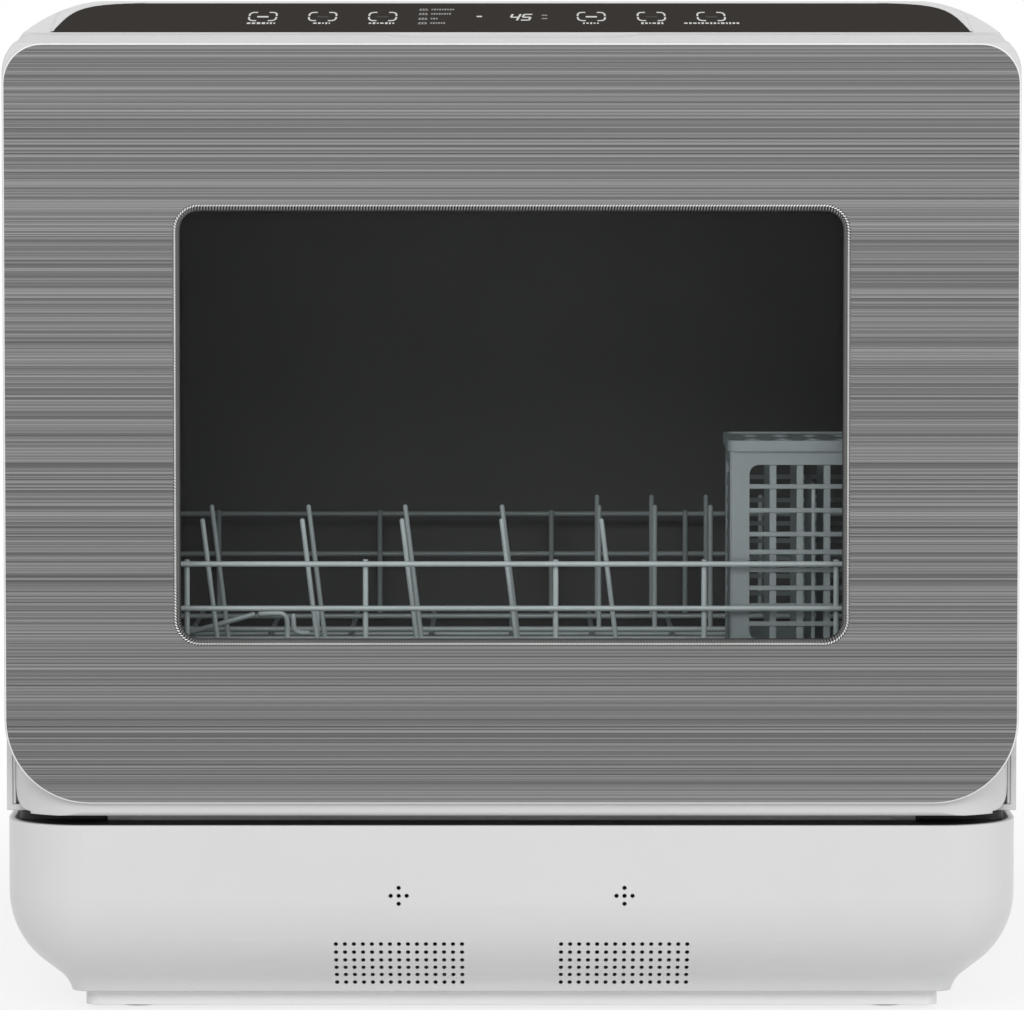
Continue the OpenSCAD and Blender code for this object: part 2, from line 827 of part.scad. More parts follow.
module wash_pump_motor() {
    color([0.5, 0.5, 0.52]) {
        end = pump_x - volute_t / 2;
        rod_x(end - motor_len, end, pump_y, pump_z, motor_r);
        rod_x(end - motor_len - 5, end - motor_len, pump_y, pump_z, 9);
        for (i = [0 : 5])
            rod_x(end - 12 - 8 * i, end - 9 - 8 * i, pump_y, pump_z, motor_r + 1.5);
    }
}

heater_x = -140;
heater_y = pump_y - 78;
heater_z = 40;
heater_r = 15;
heater_len = 70;
collar_t = 4;

// Flow heater: a tube with an end collar at each end, on two saddles
module water_heater() {
    color([0.7, 0.7, 0.72]) {
        rod_x(heater_x, heater_x + heater_len, heater_y, heater_z, heater_r);
        for (x = [heater_x - collar_t / 2, heater_x + heater_len - collar_t / 2])
            rod_x(x, x + collar_t, heater_y, heater_z, heater_r + 4);
        for (x = [heater_x + 10, heater_x + heater_len - 18])
            translate([x, heater_y - 10, foot_h + wall]) cube([8, 20, heater_z - heater_r]);
    }
}

drain_pump_x = 92;
drain_pump_z = 40;
drain_pump_r = 20;
drain_pump_t = 26;
drain_motor_r = 15;
drain_motor_len = 32;

module drain_pump() {
    motor_x = drain_pump_x + drain_pump_t;
    color([0.3, 0.3, 0.32]) {
        rod_x(drain_pump_x, motor_x, pump_y, drain_pump_z, drain_pump_r);
        rod_x(motor_x, motor_x + drain_motor_len, pump_y, drain_pump_z, drain_motor_r);
        translate([drain_pump_x + 6, pump_y - 14, foot_h + wall])
            cube([12, 28, drain_pump_z - drain_pump_r]);
    }
}

// Pipe that climbs beside the tub and feeds the upper arm, ending in the arm's spigot
module riser_pipe() {
    top_z = tub_ceiling + tub_t + pipe_r + 4;
    color([0.35, 0.36, 0.37]) {
        rod_z(pipe_x, arm_y, base_top, top_z, pipe_r);
        translate([pipe_x, arm_y, top_z]) sphere(pipe_r);
        rod_x(0, pipe_x, arm_y, top_z, pipe_r);
        translate([0, arm_y, top_z]) sphere(pipe_r);
        rod_z(0, arm_y, upper_arm_z + arm_t + gap, top_z, pipe_r);
        rod_z(0, arm_y, upper_arm_z - gap, top_z, spigot_r);
        rod_z(0, arm_y, upper_arm_z - 3, upper_arm_z - gap, spigot_r + 4);
    }
}

// ---------- Water, power and drying ----------

port_z = 125;
tank_half_w = panel_half_w - 3;
tank_low = port_z + 25;
tank_high = body_h - 28;
shoulder_half_w = 30;
tank_front = tub_back + tub_t + 2;
tank_rear = back_y - wall - panel_t;
tank_t = 2.5;
neck_r = 17;
neck_top = body_h - 9.5;
port_inset = 38;
inlet_x = port_inset - panel_half_w;
drain_x = panel_half_w - port_inset;
gland_x = 60;
gland_r = 7;

// Tank behind the tub, with a shoulder that runs forward over the tub to the fill collar
module water_tank() {
    shelf_low = tub_ceiling + tub_t;
    color([0.75, 0.8, 0.85])
    difference() {
        union() {
            along_y(tank_front, tank_rear)
                upright_rect(2 * tank_half_w, tank_low, tank_high, 8, 12);
            translate([collar_x - shoulder_half_w, collar_y - shoulder_half_w, shelf_low])
                cube([2 * shoulder_half_w, tank_front - collar_y + shoulder_half_w + 1,
                      tank_high - shelf_low]);
            rod_z(collar_x, collar_y, tank_high - 1, neck_top, neck_r + tank_t);
        }
        along_y(tank_front + tank_t, tank_rear - tank_t)
            upright_rect(2 * (tank_half_w - tank_t), tank_low + tank_t, tank_high - tank_t, 6, 10);
        translate([collar_x - shoulder_half_w + tank_t, collar_y - shoulder_half_w + tank_t,
                   shelf_low + tank_t])
            cube([2 * (shoulder_half_w - tank_t), tank_front - collar_y + shoulder_half_w + 3 - tank_t,
                  tank_high - shelf_low - 2 * tank_t]);
        rod_z(collar_x, collar_y, tank_high - 2 * tank_t, body_h, neck_r);
    }
}

flap_t = 2;
flap_r = 20;
flap_drop = 4;
flap_top = body_h - flap_drop;
flap_seat = flap_t + 0.1;
flap_axis_y = collar_y + 14;
flap_axis_z = flap_top - flap_t / 2;
flap_pin_r = 0.8;
flap_tail = 1.2;
flap_swing = 2.2;
flap_slot_w = 32.6;
flap_pin_reach = flap_slot_w / 2 + 1.8;

// Funnel let into the top, round the tank's neck, with the flap's seat and pin holes
module fill_collar() {
    color([0.7, 0.71, 0.72])
    difference() {
        rod_z(collar_x, collar_y, flap_top - 10, body_h, collar_r);
        rod_z(collar_x, collar_y, flap_top - 11, neck_top + gap, neck_r + tank_t + gap);
        rod_z(collar_x, collar_y, flap_top - 11, body_h + cut, neck_r);
        difference() {
            rod_z(collar_x, collar_y, flap_top - flap_seat, body_h + cut, flap_r + 0.4);
            translate([collar_x - flap_r - 1, flap_axis_y + flap_tail + flap_swing, flap_top - 5])
                cube([2 * flap_r + 2, 20, flap_drop + 8]);
        }
        translate([collar_x + 0.4 - flap_r, flap_axis_y - 9, flap_axis_z + 1.5])
            cube([2 * (flap_r - 0.4), 9 + flap_tail + flap_swing, flap_drop + 2]);
        translate([collar_x - flap_slot_w / 2, flap_axis_y - 3, flap_top - flap_seat - 1])
            cube([flap_slot_w, 3 + flap_tail + flap_swing, flap_drop + flap_seat + 2]);
        rod_x(collar_x - flap_pin_reach - gap, collar_x + flap_pin_reach + gap, flap_axis_y,
              flap_axis_z, flap_pin_r + run_fit);
    }
}

module fill_flap() {
    color([0.85, 0.85, 0.85]) {
        difference() {
            rod_z(collar_x, collar_y, flap_top - flap_t, flap_top, flap_r);
            translate([collar_x - flap_r - 1, flap_axis_y + flap_tail, flap_top - 5])
                cube([2 * flap_r + 2, 20, 8]);
        }
        rod_x(collar_x - flap_pin_reach, collar_x + flap_pin_reach, flap_axis_y, flap_axis_z,
              flap_pin_r);
    }
}

port_flange_t = 2;

// Threaded inlet: a flanged tube whose free end takes the hose's nut
module inlet_connector() {
    color([0.75, 0.76, 0.78])
    difference() {
        union() {
            rod_y(inlet_x, back_y, back_y + rear_reach, port_z, inlet_r);
            rod_y(inlet_x, back_y, back_y + port_flange_t, port_z, inlet_r + 4);
            rod_y(inlet_x, back_y - 12, back_y, port_z, inlet_r - 1.4);
        }
        rod_y(inlet_x, back_y - 8, back_y + rear_reach + cut, port_z, inlet_r - 4);
    }
}

module drain_connector() {
    color([0.2, 0.2, 0.21])
    difference() {
        union() {
            rod_y(drain_x, back_y, back_y + rear_reach, port_z, drain_r);
            rod_y(drain_x, back_y, back_y + port_flange_t, port_z, drain_r + 5);
            rod_y(drain_x, back_y - 12, back_y, port_z, drain_r - 1.6);
        }
        rod_y(drain_x, back_y - 8, back_y + rear_reach + cut, port_z, drain_r - 3);
    }
}

module cable_gland() {
    color([0.15, 0.15, 0.15])
    difference() {
        union() {
            rod_y(gland_x, back_y, back_y + 6, port_z, gland_r);
            rod_y(gland_x, back_y, back_y + port_flange_t, port_z, gland_r + 3);
            rod_y(gland_x, back_y - 8, back_y, port_z, gland_r - 1.5);
        }
        rod_y(gland_x, back_y - 9, back_y + 7, port_z, gland_r - 3.5);
    }
}

power_w = 90;
power_d = 60;
board_t = 1.6;
board_rise = 4;
board_x = 60;
board_y = plinth_back - wall - 10 - power_d;
board_face = plinth_top + board_rise + board_t;
relay_w = 28;
relay_d = 24;
relay_h = 22;
can_r = 7;
can_h = 24.4;

// Supply board on four posts, with a relay and two round capacitors
module power_board() {
    color([0.12, 0.32, 0.18]) {
        translate([board_x, board_y, plinth_top + board_rise]) cube([power_w, power_d, board_t]);
        for (x = [4, power_w - 8], y = [4, power_d - 8])
            rod_z(board_x + x, board_y + y, foot_h + wall, plinth_top + board_rise, 3);
        translate([board_x + 10, board_y + 10, board_face]) cube([relay_w, relay_d, relay_h]);
        for (i = [0, 1])
            rod_z(board_x + 48 + 18 * i, board_y + 22, board_face, board_face + can_h, can_r);
    }
}

fan_y = duct_y;
fan_z = duct_z;
fan_r = 34;
fan_inner = tub_half_w + tub_t;
fan_depth = 20;

// Flat drying fan on the tub's left side, over the tub's air slots
module fan_housing() {
    color([0.2, 0.2, 0.2])
    difference() {
        rod_x(-fan_inner - fan_depth, -fan_inner, fan_y, fan_z, fan_r + 3);
        rod_x(-fan_inner - fan_depth + 2, -fan_inner - 2, fan_y, fan_z, fan_r);
        rod_x(-fan_inner - 2 - cut, -fan_inner + cut, fan_y, fan_z, 15);
        rod_x(-fan_inner - fan_depth - cut, -fan_inner - fan_depth + 3, fan_y, fan_z,
              4 + run_fit);
    }
}

module fan_rotor() {
    hub_end = -fan_inner - fan_depth;
    color([0.1, 0.1, 0.1]) {
        rod_x(hub_end + 4, -fan_inner - 4, fan_y, fan_z, 12);
        rod_x(hub_end, hub_end + 5, fan_y, fan_z, 4);
        translate([hub_end + 4, fan_y, fan_z]) for (i = [0 : 8]) rotate([40 * i, 0, 0])
            translate([0, 10, -0.8]) cube([fan_depth - 8, fan_r - 13, 1.6]);
    }
}

vent_w = 70;
vent_low = 116;
vent_high = 142;

// Louvred outlet at the back
module rear_vent() {
    color([0.75, 0.75, 0.75])
    difference() {
        union() {
            along_y(back_y, back_y + 1.5)
                translate([louvre_x, 0]) upright_rect(vent_w, vent_low, vent_high, 5, 5);
            along_y(back_y - 4, back_y)
                translate([louvre_x, 0])
                    upright_rect(vent_w - 8, vent_low + 4, vent_high - 4, 3, 3);
        }
        for (i = [0 : 9])
            translate([louvre_x - vent_w / 2 + 9 + i * 5.6, back_y - 5, vent_low + 6])
                cube([3, 8, vent_high - vent_low - 12]);
    }
}

// ---------- Door ----------

door_rear_top = door_top + (door_t - 1) * tan(console_tilt);
frame_wall = 3;
film_back = front_y + film_t;
front_wall_back = film_back + pane_t;
liner_t = 3;
liner_front = door_back - liner_t;
pane_margin = 12;
tube_margin = 16;

module window_shape(grow) {
    upright_rect(window_w + 2 * grow, window_bottom - grow, window_bottom + window_h + grow,
                 window_r + max(grow, 0), window_r + max(grow, 0));
}

module door_face(inset) {
    upright_rect(2 * (door_half_w - inset), film_bottom - 1 + inset, door_top - inset,
                 door_bottom_r - inset, door_top_r - inset);
}

// Side view of the door body: sloped top, round knuckle under the hinge at the back
module door_side(inset) {
    difference() {
        polygon([[film_back, shell_bottom + inset], [door_back - inset, shell_bottom + inset],
                 [door_back - inset, door_rear_top - inset],
                 [film_back, door_top - inset + 0.2]]);
        difference() {
            translate([hinge_y, shell_bottom - cut])
                square([door_back - hinge_y + cut, hinge_rise + cut]);
            translate([hinge_y, hinge_z]) circle(-back_face - inset);
        }
    }
}

skirt_r = 2;

// Solid body of the door: a flat slab above, and a round-cornered skirt below it
module door_body() {
    intersection() {
        along_x(-half_w, half_w) door_side(0);
        union() {
            along_y(film_back, door_back + cut)
                upright_rect(2 * door_half_w, film_bottom - 1, door_rear_top + cut,
                             door_bottom_r, door_top_r);
            along_z(shell_bottom, skirt_top)
                plan_rect(body_w - 2, front_y + skirt_setback, door_back + corner_r,
                          corner_r, 0);
        }
        union() {
            translate([-half_w, film_back - cut, film_bottom - 1])
                cube([body_w, door_t + 2, door_rear_top]);
            along_x(-half_w, half_w) difference() {
                translate([front_y, shell_bottom - cut])
                    square([door_t + 2, film_bottom - shell_bottom + 3]);
                translate([front_y + skirt_setback, shell_bottom]) corner_cut(skirt_r);
            }
        }
    }
}

hinge_slot_w = bracket_t + 2;

// Clear space in the door for one hinge bracket, over the whole swing
module hinge_pocket() {
    along_x(hinge_x - hinge_slot_w / 2, hinge_x + hinge_slot_w / 2) {
        translate([hinge_y, hinge_z]) circle(hinge_pin_r + 3.5 + 0.8);
        translate([hinge_y - 6.8, shell_bottom - cut])
            square([door_back - hinge_y + 6.8 + cut, hinge_rise + cut + 6.8]);
    }
}

arm_strap_t = 3;
arm_strap_h = 40;

module strap_side(fit) {
    translate([hinge_y - 5, hinge_z - 6]) square([11, arm_strap_h + fit]);
}

// Straps each side of a bracket carry the pin
module hinge_arms() {
    color([0.55, 0.55, 0.57])
    both_sides() for (side = [-1, 1]) {
        centre = hinge_x + side * (hinge_slot_w + arm_strap_t) / 2;
        difference() {
            along_x(centre - arm_strap_t / 2, centre + arm_strap_t / 2) strap_side(0);
            rod_x(centre - 4, centre + 4, hinge_y, hinge_z, hinge_pin_r);
        }
    }
    color([0.75, 0.75, 0.77])
    both_sides()
        rod_x(hinge_x - hinge_slot_w / 2 - arm_strap_t, hinge_x + hinge_slot_w / 2 + arm_strap_t,
              hinge_y, hinge_z, hinge_pin_r);
}

liner_half_w = door_half_w - frame_wall - 0.2;
liner_low = shell_bottom + 14;
liner_high = door_top - 6;

module liner_outline(fit) {
    upright_rect(2 * (liner_half_w - fit), liner_low + fit, liner_high - fit, 10, 12);
}

module door_frame() {
    color([0.87, 0.87, 0.87])
    difference() {
        door_body();
        difference() {
            along_y(front_wall_back, liner_front)
                upright_rect(2 * (door_half_w - frame_wall - 3), liner_low + 3, liner_high - 3, 20, 8);
            along_y(front_wall_back - cut, liner_front + cut) window_shape(tube_margin);
        }
        along_y(liner_front, door_back + cut) liner_outline(0);
        along_y(film_back - cut, front_wall_back) window_shape(pane_margin);
        along_y(front_wall_back - cut, door_back + cut) window_shape(tube_margin - frame_wall);
        both_sides() hinge_pocket();
        both_sides() for (side = [-1, 1]) {
            centre = hinge_x + side * (hinge_slot_w + arm_strap_t) / 2;
            along_x(centre - arm_strap_t / 2, centre + arm_strap_t / 2) strap_side(0);
        }
        grip_scoop();
    }
}

// Finger scoop in the rear of the door's top edge
module grip_scoop() {
    scoop_r = (pow(scoop_half_w, 2) + pow(scoop_depth, 2)) / (2 * scoop_depth);
    intersection() {
        translate([0, door_back + 3, door_rear_top + scoop_r - scoop_depth]) rotate([90, 0, 0])
            cylinder(r = scoop_r, h = 14, $fn = 180);
        translate([-scoop_half_w, door_back - 9, door_top - 12]) cube([2 * scoop_half_w, 12, 30]);
    }
}

module door_film() {
    color([0.5, 0.5, 0.5])
    difference() {
        along_y(front_y, film_back) door_face(film_inset);
        along_y(front_y - cut, film_back + cut) window_shape(bezel_w);
    }
}

module window_bezel() {
    color([0.8, 0.8, 0.8])
    difference() {
        along_y(front_y, film_back) window_shape(bezel_w);
        along_y(front_y - cut, film_back + cut) window_shape(0);
    }
}

module outer_glass() {
    color([0.6, 0.7, 0.75, 0.35])
    along_y(film_back, front_wall_back) window_shape(pane_margin - 0.2);
}

module inner_glass() {
    color([0.6, 0.7, 0.75, 0.35])
    along_y(liner_front - pane_t, liner_front) window_shape(pane_margin - 3);
}

module window_gasket() {
    color([0.12, 0.12, 0.12])
    difference() {
        along_y(liner_front - pane_t, liner_front) window_shape(tube_margin - frame_wall);
        along_y(liner_front - pane_t - cut, liner_front + cut) window_shape(pane_margin - 3 + seat);
    }
}

dispenser_x = 40;
dispenser_w = 84;
dispenser_h = 30;
dispenser_z = liner_low + 11;
cup_w = 36;

module dispenser_mouth(grow, y0, y1) {
    along_y(y0, y1) translate([dispenser_x, 0])
        upright_rect(dispenser_w + 2 * grow, dispenser_z - grow, dispenser_z + dispenser_h + grow,
                     4, 4);
}

module inner_liner() {
    color([0.55, 0.57, 0.58])
    difference() {
        along_y(liner_front, door_back) liner_outline(0.15);
        along_y(liner_front - cut, door_back + cut) window_shape(4);
        dispenser_mouth(0, liner_front - cut, door_back + cut);
        both_sides() hinge_pocket();
        strike_slot();
    }
}

module strike_slot() {
    along_y(liner_front - cut, door_back + cut)
        upright_rect(2 * strike_half_w + 0.4, latch_z - 3, latch_z + strike_t + 2, 0, 0);
}

// Hook plate that stands out of the door's back into the catch
module door_strike() {
    color([0.7, 0.7, 0.72]) {
        translate([-strike_half_w - 4, liner_front - 2, latch_z - 6])
            cube([2 * strike_half_w + 8, 2, strike_t + 7]);
        difference() {
            translate([-strike_half_w, liner_front, latch_z])
                cube([2 * strike_half_w, liner_t + strike_len, strike_t]);
            rod_z(0, door_back + strike_len - 5, latch_z - cut, latch_z + strike_t + cut, 2.5);
        }
    }
}

// Detergent box let into the liner: one open cup and the channel that its lid slides in
module dispenser_body() {
    color([0.45, 0.46, 0.47])
    difference() {
        union() {
            dispenser_mouth(-0.15, liner_front - 7, door_back - 0.2);
            dispenser_mouth(3, liner_front - 1.5, liner_front);
        }
        translate([dispenser_x - dispenser_w / 2 + 4, liner_front - 5, dispenser_z + 4])
            cube([cup_w, 12, dispenser_h - 8]);
        translate([dispenser_x - dispenser_w / 2 + 2, door_back - 2.2, dispenser_z + 2])
            cube([dispenser_w - 4, 4, dispenser_h - 4]);
    }
}

module dispenser_lid() {
    color([0.6, 0.62, 0.63])
    difference() {
        translate([dispenser_x - dispenser_w / 2 + 2.3, door_back - 2.1, dispenser_z + 2.2])
            cube([cup_w + 4, 1.9, dispenser_h - 4.4]);
        for (i = [-1 : 1])
            translate([dispenser_x - dispenser_w / 2 + 14 + 5 * i, door_back - 0.8, dispenser_z + 8])
                cube([2, 2, dispenser_h - 16]);
    }
}

// ---------- Rack ----------

module wire_x(x0, x1, y, z, d = wire_d) {
    rod_x(x0, x1, y, z, d / 2);
}

module wire_y(x, y0, y1, z, d = wire_d) {
    rod_y(x, y0, y1, z, d / 2);
}

loop_r = 14;

// Closed wire loop round the rack at one height
module wire_loop(z) {
    plan_sweep(2 * rack_half_w, rack_front, rack_back, loop_r)
        translate([loop_r, z]) circle(d = wire_d);
}

upright_inset = 30;
upright_xs = [upright_inset - rack_half_w, -63, 19, 83, rack_half_w - upright_inset];
side_ys = [0.2, 0.42, 0.62, 0.84];

floor_pitch = (rack_half_w - 22) / 4;
floor_z = rack_z - wire_step;
bearer_half_w = 4 * floor_pitch + 4;

// Three closed loops, and three bearers across under the floor wires
module rack_frame() {
    color([0.55, 0.61, 0.62]) {
        wire_loop(rack_z);
        wire_loop(mid_rail_z);
        wire_loop(top_rail_z);
        for (share = [0.3, 0.5, 0.7])
            wire_x(-bearer_half_w, bearer_half_w, rack_front + share * rack_len,
                   floor_z - wire_step);
    }
}

bowl_rows = [rack_front + 34, rack_front + 118];
plate_rows = [rack_front + 166, rack_front + 232];
row_z = rack_z + wire_step;

// Straight wires welded into the frame: floor, uprights and the rows that carry the tines
module rack_floor() {
    top = top_rail_z + wire_d / 2 + 0.6;
    low = rack_z - wire_d / 2 - 0.6;
    color([0.55, 0.61, 0.62]) {
        for (i = [-4 : 4])
            wire_y(i * floor_pitch, rack_front - wire_d / 2, rack_back + wire_d / 2, floor_z);
        for (y = concat(bowl_rows, plate_rows))
            wire_x(-rack_half_w - 0.8, rack_half_w + 0.8, y, row_z);
        for (x = upright_xs) {
            rod_z(x, rack_front + wire_step, low, top, wire_d / 2);
            rod_z(x, rack_back - wire_step, low, top, wire_d / 2);
        }
        both_sides() for (share = side_ys)
            rod_z(rack_half_w - wire_step, rack_front + share * rack_len, low, top, wire_d / 2);
    }
}

// Round-topped tines welded into one row's wire
module tine_row(xs, y, height, lean) {
    for (x = xs) translate([x, y, row_z]) rotate([0, -lean, 0]) {
        cylinder(d = tine_d, h = height);
        translate([0, 0, height]) sphere(d = tine_d);
    }
}

module bowl_tines() {
    color([0.55, 0.61, 0.62])
    for (row = [0, 1])
        tine_row([for (i = [-3 : 1 - row]) 3 + i * bowl_pitch], bowl_rows[row], bowl_tine_h,
                 bowl_lean);
}

module plate_tines() {
    color([0.55, 0.61, 0.62])
    for (y = plate_rows)
        tine_row([for (i = [0 : 4]) 40 + i * plate_pitch], y, plate_tine_h, 0);
}

clip_len = 14;

module wheel_axles() {
    clip_in = rack_half_w - 1.5;
    clip_out = rack_half_w + 3.5;
    color([0.5, 0.55, 0.56])
    both_sides() for (y = [wheel_front_y, wheel_rear_y]) {
        difference() {
            along_x(clip_in, clip_out)
                translate([y - clip_len / 2, wheel_z - 6])
                    square([clip_len, rack_z + 4 - wheel_z + 6]);
            wire_y(rack_half_w, y - clip_len, y + clip_len, rack_z, wire_d + seat);
        }
        rod_x(clip_out - cut, wheel_inner_x + wheel_t + gap, y, wheel_z, axle_r);
        rod_x(wheel_inner_x + wheel_t + gap, wheel_inner_x + wheel_t + gap + 1.5, y, wheel_z,
              axle_r + 1.5);
        rod_x(clip_out - cut, wheel_inner_x - gap, y, wheel_z, axle_r + 2);
    }
}

// One spoked wheel on the right side; the others are its mirror images and copies
module rack_wheel(y) {
    color([0.7, 0.72, 0.73])
    difference() {
        rod_x(wheel_inner_x, wheel_inner_x + wheel_t, y, wheel_z, wheel_r);
        rod_x(wheel_inner_x - cut, wheel_inner_x + wheel_t + cut, y, wheel_z, axle_r + run_fit);
        for (turn = [0 : 4]) translate([wheel_inner_x - cut, y, wheel_z]) rotate([72 * turn, 0, 0])
            translate([0, 5.4, 0]) rotate([0, 90, 0]) cylinder(r = 1.5, h = wheel_t + 2 * cut);
    }
}

module rack_wheel_front_right() { rack_wheel(wheel_front_y); }
module rack_wheel_rear_right() { rack_wheel(wheel_rear_y); }
module rack_wheel_front_left() { mirror([1, 0, 0]) rack_wheel(wheel_front_y); }
module rack_wheel_rear_left() { mirror([1, 0, 0]) rack_wheel(wheel_rear_y); }

// ---------- Cutlery basket ----------

rim_h = 5;
post_w = 8.3;
rib_t = 1.9;
open_low = 8;
low_rows = 6;
low_row_pitch = 7.75;
high_rows = 3;
high_row_pitch = (basket_h - 4.6 - open_low - low_rows * low_row_pitch) / high_rows;

// Flat lattice of one basket wall, drawn in X and Z
module lattice(width) {
    bars = round((width - 2 * post_w) / bar_pitch);
    first = (width - bars * bar_pitch) / 2;
    middle = open_low + low_rows * low_row_pitch;
    difference() {
        square([width, basket_h]);
        for (i = [0 : bars - 1]) translate([first + i * bar_pitch + bar_w / 2, 0]) {
            for (j = [0 : low_rows - 1]) translate([0, open_low + j * low_row_pitch + rib_t / 2])
                square([bar_pitch - bar_w, low_row_pitch - rib_t]);
            for (j = [0 : high_rows - 1]) translate([0, middle + j * high_row_pitch + rib_t / 2])
                square([bar_pitch - bar_w, high_row_pitch - rib_t]);
        }
    }
}

module basket_outline(inset) {
    plan_rect(basket_w - 2 * inset, 0, basket_d - 2 * inset, 4 - inset, 4 - inset);
}

module cutlery_basket() {
    color([0.5, 0.55, 0.56])
    translate([basket_x, basket_y, basket_z])
    difference() {
        union() {
            intersection() {
                difference() {
                    translate([basket_w / 2, 0, 0]) linear_extrude(basket_h) basket_outline(0);
                    translate([basket_w / 2, basket_t, basket_t]) linear_extrude(basket_h)
                        basket_outline(basket_t);
                }
                union() {
                    along_y(-cut, basket_t) lattice(basket_w);
                    along_y(basket_d - basket_t, basket_d + cut) lattice(basket_w);
                    along_x(-cut, basket_t) lattice(basket_d);
                    along_x(basket_w - basket_t, basket_w + cut) lattice(basket_d);
                    cube([basket_w, basket_d, basket_t]);
                    for (x = [0, basket_w - 4], y = [0, basket_d - 4])
                        translate([x, y, 0]) cube([4, 4, basket_h]);
                }
            }
            translate([basket_w / 2 - 0.8, basket_t - 0.5, basket_t - 0.5])
                cube([1.6, basket_d - 2 * basket_t + 1, basket_h - 20]);
        }
        for (i = [0 : 4], j = [0 : 4])
            translate([7 + i * 11, 6 + j * 11, -cut]) cube([7, 6, basket_t + 2 * cut]);
    }
}

lid_h = 5;
lid_t = 2;
lid_sink = 0.8;
lid_rim = 2;

// Slotted lid: lens-shaped slots in two rows hold the cutlery upright
module cutlery_lid() {
    color([0.52, 0.57, 0.58])
    translate([basket_x, basket_y, basket_z + basket_h])
    difference() {
        translate([basket_w / 2, -1.2, 0]) linear_extrude(lid_h)
            plan_rect(basket_w + 2.4, 0, basket_d + 2.4, 5, 5);
        translate([basket_w / 2, lid_rim - 1.2, lid_h - lid_sink]) linear_extrude(lid_h)
            plan_rect(basket_w + 2.4 - 2 * lid_rim, 0, basket_d + 2.4 - 2 * lid_rim, 3, 3);
        translate([basket_w / 2, lid_rim - 1.2, -cut])
            linear_extrude(lid_h - lid_sink - lid_t + cut)
                plan_rect(basket_w + 2.4 - 2 * lid_rim, 0, basket_d + 2.4 - 2 * lid_rim, 3, 3);
        for (i = [0 : 4], j = [0, 1])
            translate([10 + i * (basket_w - 20) / 4, 17 + j * (basket_d - 34), -cut])
                linear_extrude(lid_h + 2 * cut) intersection() {
                    translate([-8, 0]) circle(12);
                    translate([8, 0]) circle(12);
                    square([20, 17], center = true);
                }
    }
}

// Float that rises off the tub's floor as the water comes up
module float_cup() {
    color([0.8, 0.8, 0.78]) {
        rod_z(float_x, float_y, tub_floor + 0.1, tub_floor + 9, float_r);
        rod_z(float_x, float_y, tub_floor - 14, tub_floor + 1, 4 - run_fit);
    }
}

base_shell();
base_plate();
rubber_feet();
shadow_trim();
gap_strip();
upper_shell();
rear_panel();
control_glass();
control_board();
tub();
door_gasket();
rack_tracks();
hinge_brackets();
latch_housing();
sump();
filter_plate();
micro_filter();
wash_pump_housing();
wash_pump_motor();
water_heater();
drain_pump();
riser_pipe();
lower_arm_hub();
water_tank();
fill_collar();
inlet_connector();
drain_connector();
cable_gland();
power_board();
fan_housing();
rear_vent();
cabinet_screws();
door_frame();
door_film();
window_bezel();
outer_glass();
inner_liner();
inner_glass();
window_gasket();
hinge_arms();
door_strike();
dispenser_body();
dispenser_lid();
rack_frame();
rack_floor();
bowl_tines();
plate_tines();
wheel_axles();
rack_wheel_front_left();
rack_wheel_front_right();
rack_wheel_rear_left();
rack_wheel_rear_right();
cutlery_basket();
cutlery_lid();
lower_spray_arm();
upper_spray_arm();
filter_cup();
float_cup();
fill_flap();
fan_rotor();
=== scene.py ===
"""Looks of a countertop dishwasher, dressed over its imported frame."""

import json
import logging
import math
import random
from dataclasses import dataclass
from enum import Enum

import bmesh
import bpy
from mathutils import Matrix, Vector
from mathutils.geometry import convex_hull_2d, tessellate_polygon


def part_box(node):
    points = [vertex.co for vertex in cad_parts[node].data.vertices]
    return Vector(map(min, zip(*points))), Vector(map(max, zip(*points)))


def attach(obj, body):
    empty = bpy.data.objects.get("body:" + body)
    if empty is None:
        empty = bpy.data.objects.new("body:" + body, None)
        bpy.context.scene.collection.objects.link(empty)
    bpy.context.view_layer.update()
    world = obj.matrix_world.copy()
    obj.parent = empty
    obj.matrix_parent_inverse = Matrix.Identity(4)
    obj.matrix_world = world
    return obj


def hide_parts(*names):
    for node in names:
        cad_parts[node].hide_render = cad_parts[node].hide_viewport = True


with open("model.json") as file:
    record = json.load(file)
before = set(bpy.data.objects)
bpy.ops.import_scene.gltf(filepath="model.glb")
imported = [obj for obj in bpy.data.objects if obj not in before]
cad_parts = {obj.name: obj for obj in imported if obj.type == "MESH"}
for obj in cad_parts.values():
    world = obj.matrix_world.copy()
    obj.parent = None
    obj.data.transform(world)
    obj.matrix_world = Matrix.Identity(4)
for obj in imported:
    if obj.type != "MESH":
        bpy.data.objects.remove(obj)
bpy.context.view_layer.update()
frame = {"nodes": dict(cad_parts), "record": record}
MM = 0.001
LOG = logging.getLogger("dishwasher")

Colour = tuple[float, float, float]
Point = tuple[float, float]
Place = tuple[float, float, float]

QUIET, STRONG = 0.3, 0.7  # the middle range of a noise


class Ray(Enum):
    """Kinds of light ray that see the backdrop at its full brightness."""

    CAMERA = "Is Camera Ray"
    GLOSSY = "Is Glossy Ray"
    THROUGH = "Is Transmission Ray"


class Grain(Enum):
    """Surface grain of a moulded piece, as the scale of its bumps per metre and their height in metres."""

    POLISHED = (140.0, 0.00001)
    SATIN = (900.0, 0.00002)
    SPARK = (1500.0, 0.00005)
    RUBBER = (2200.0, 0.00004)


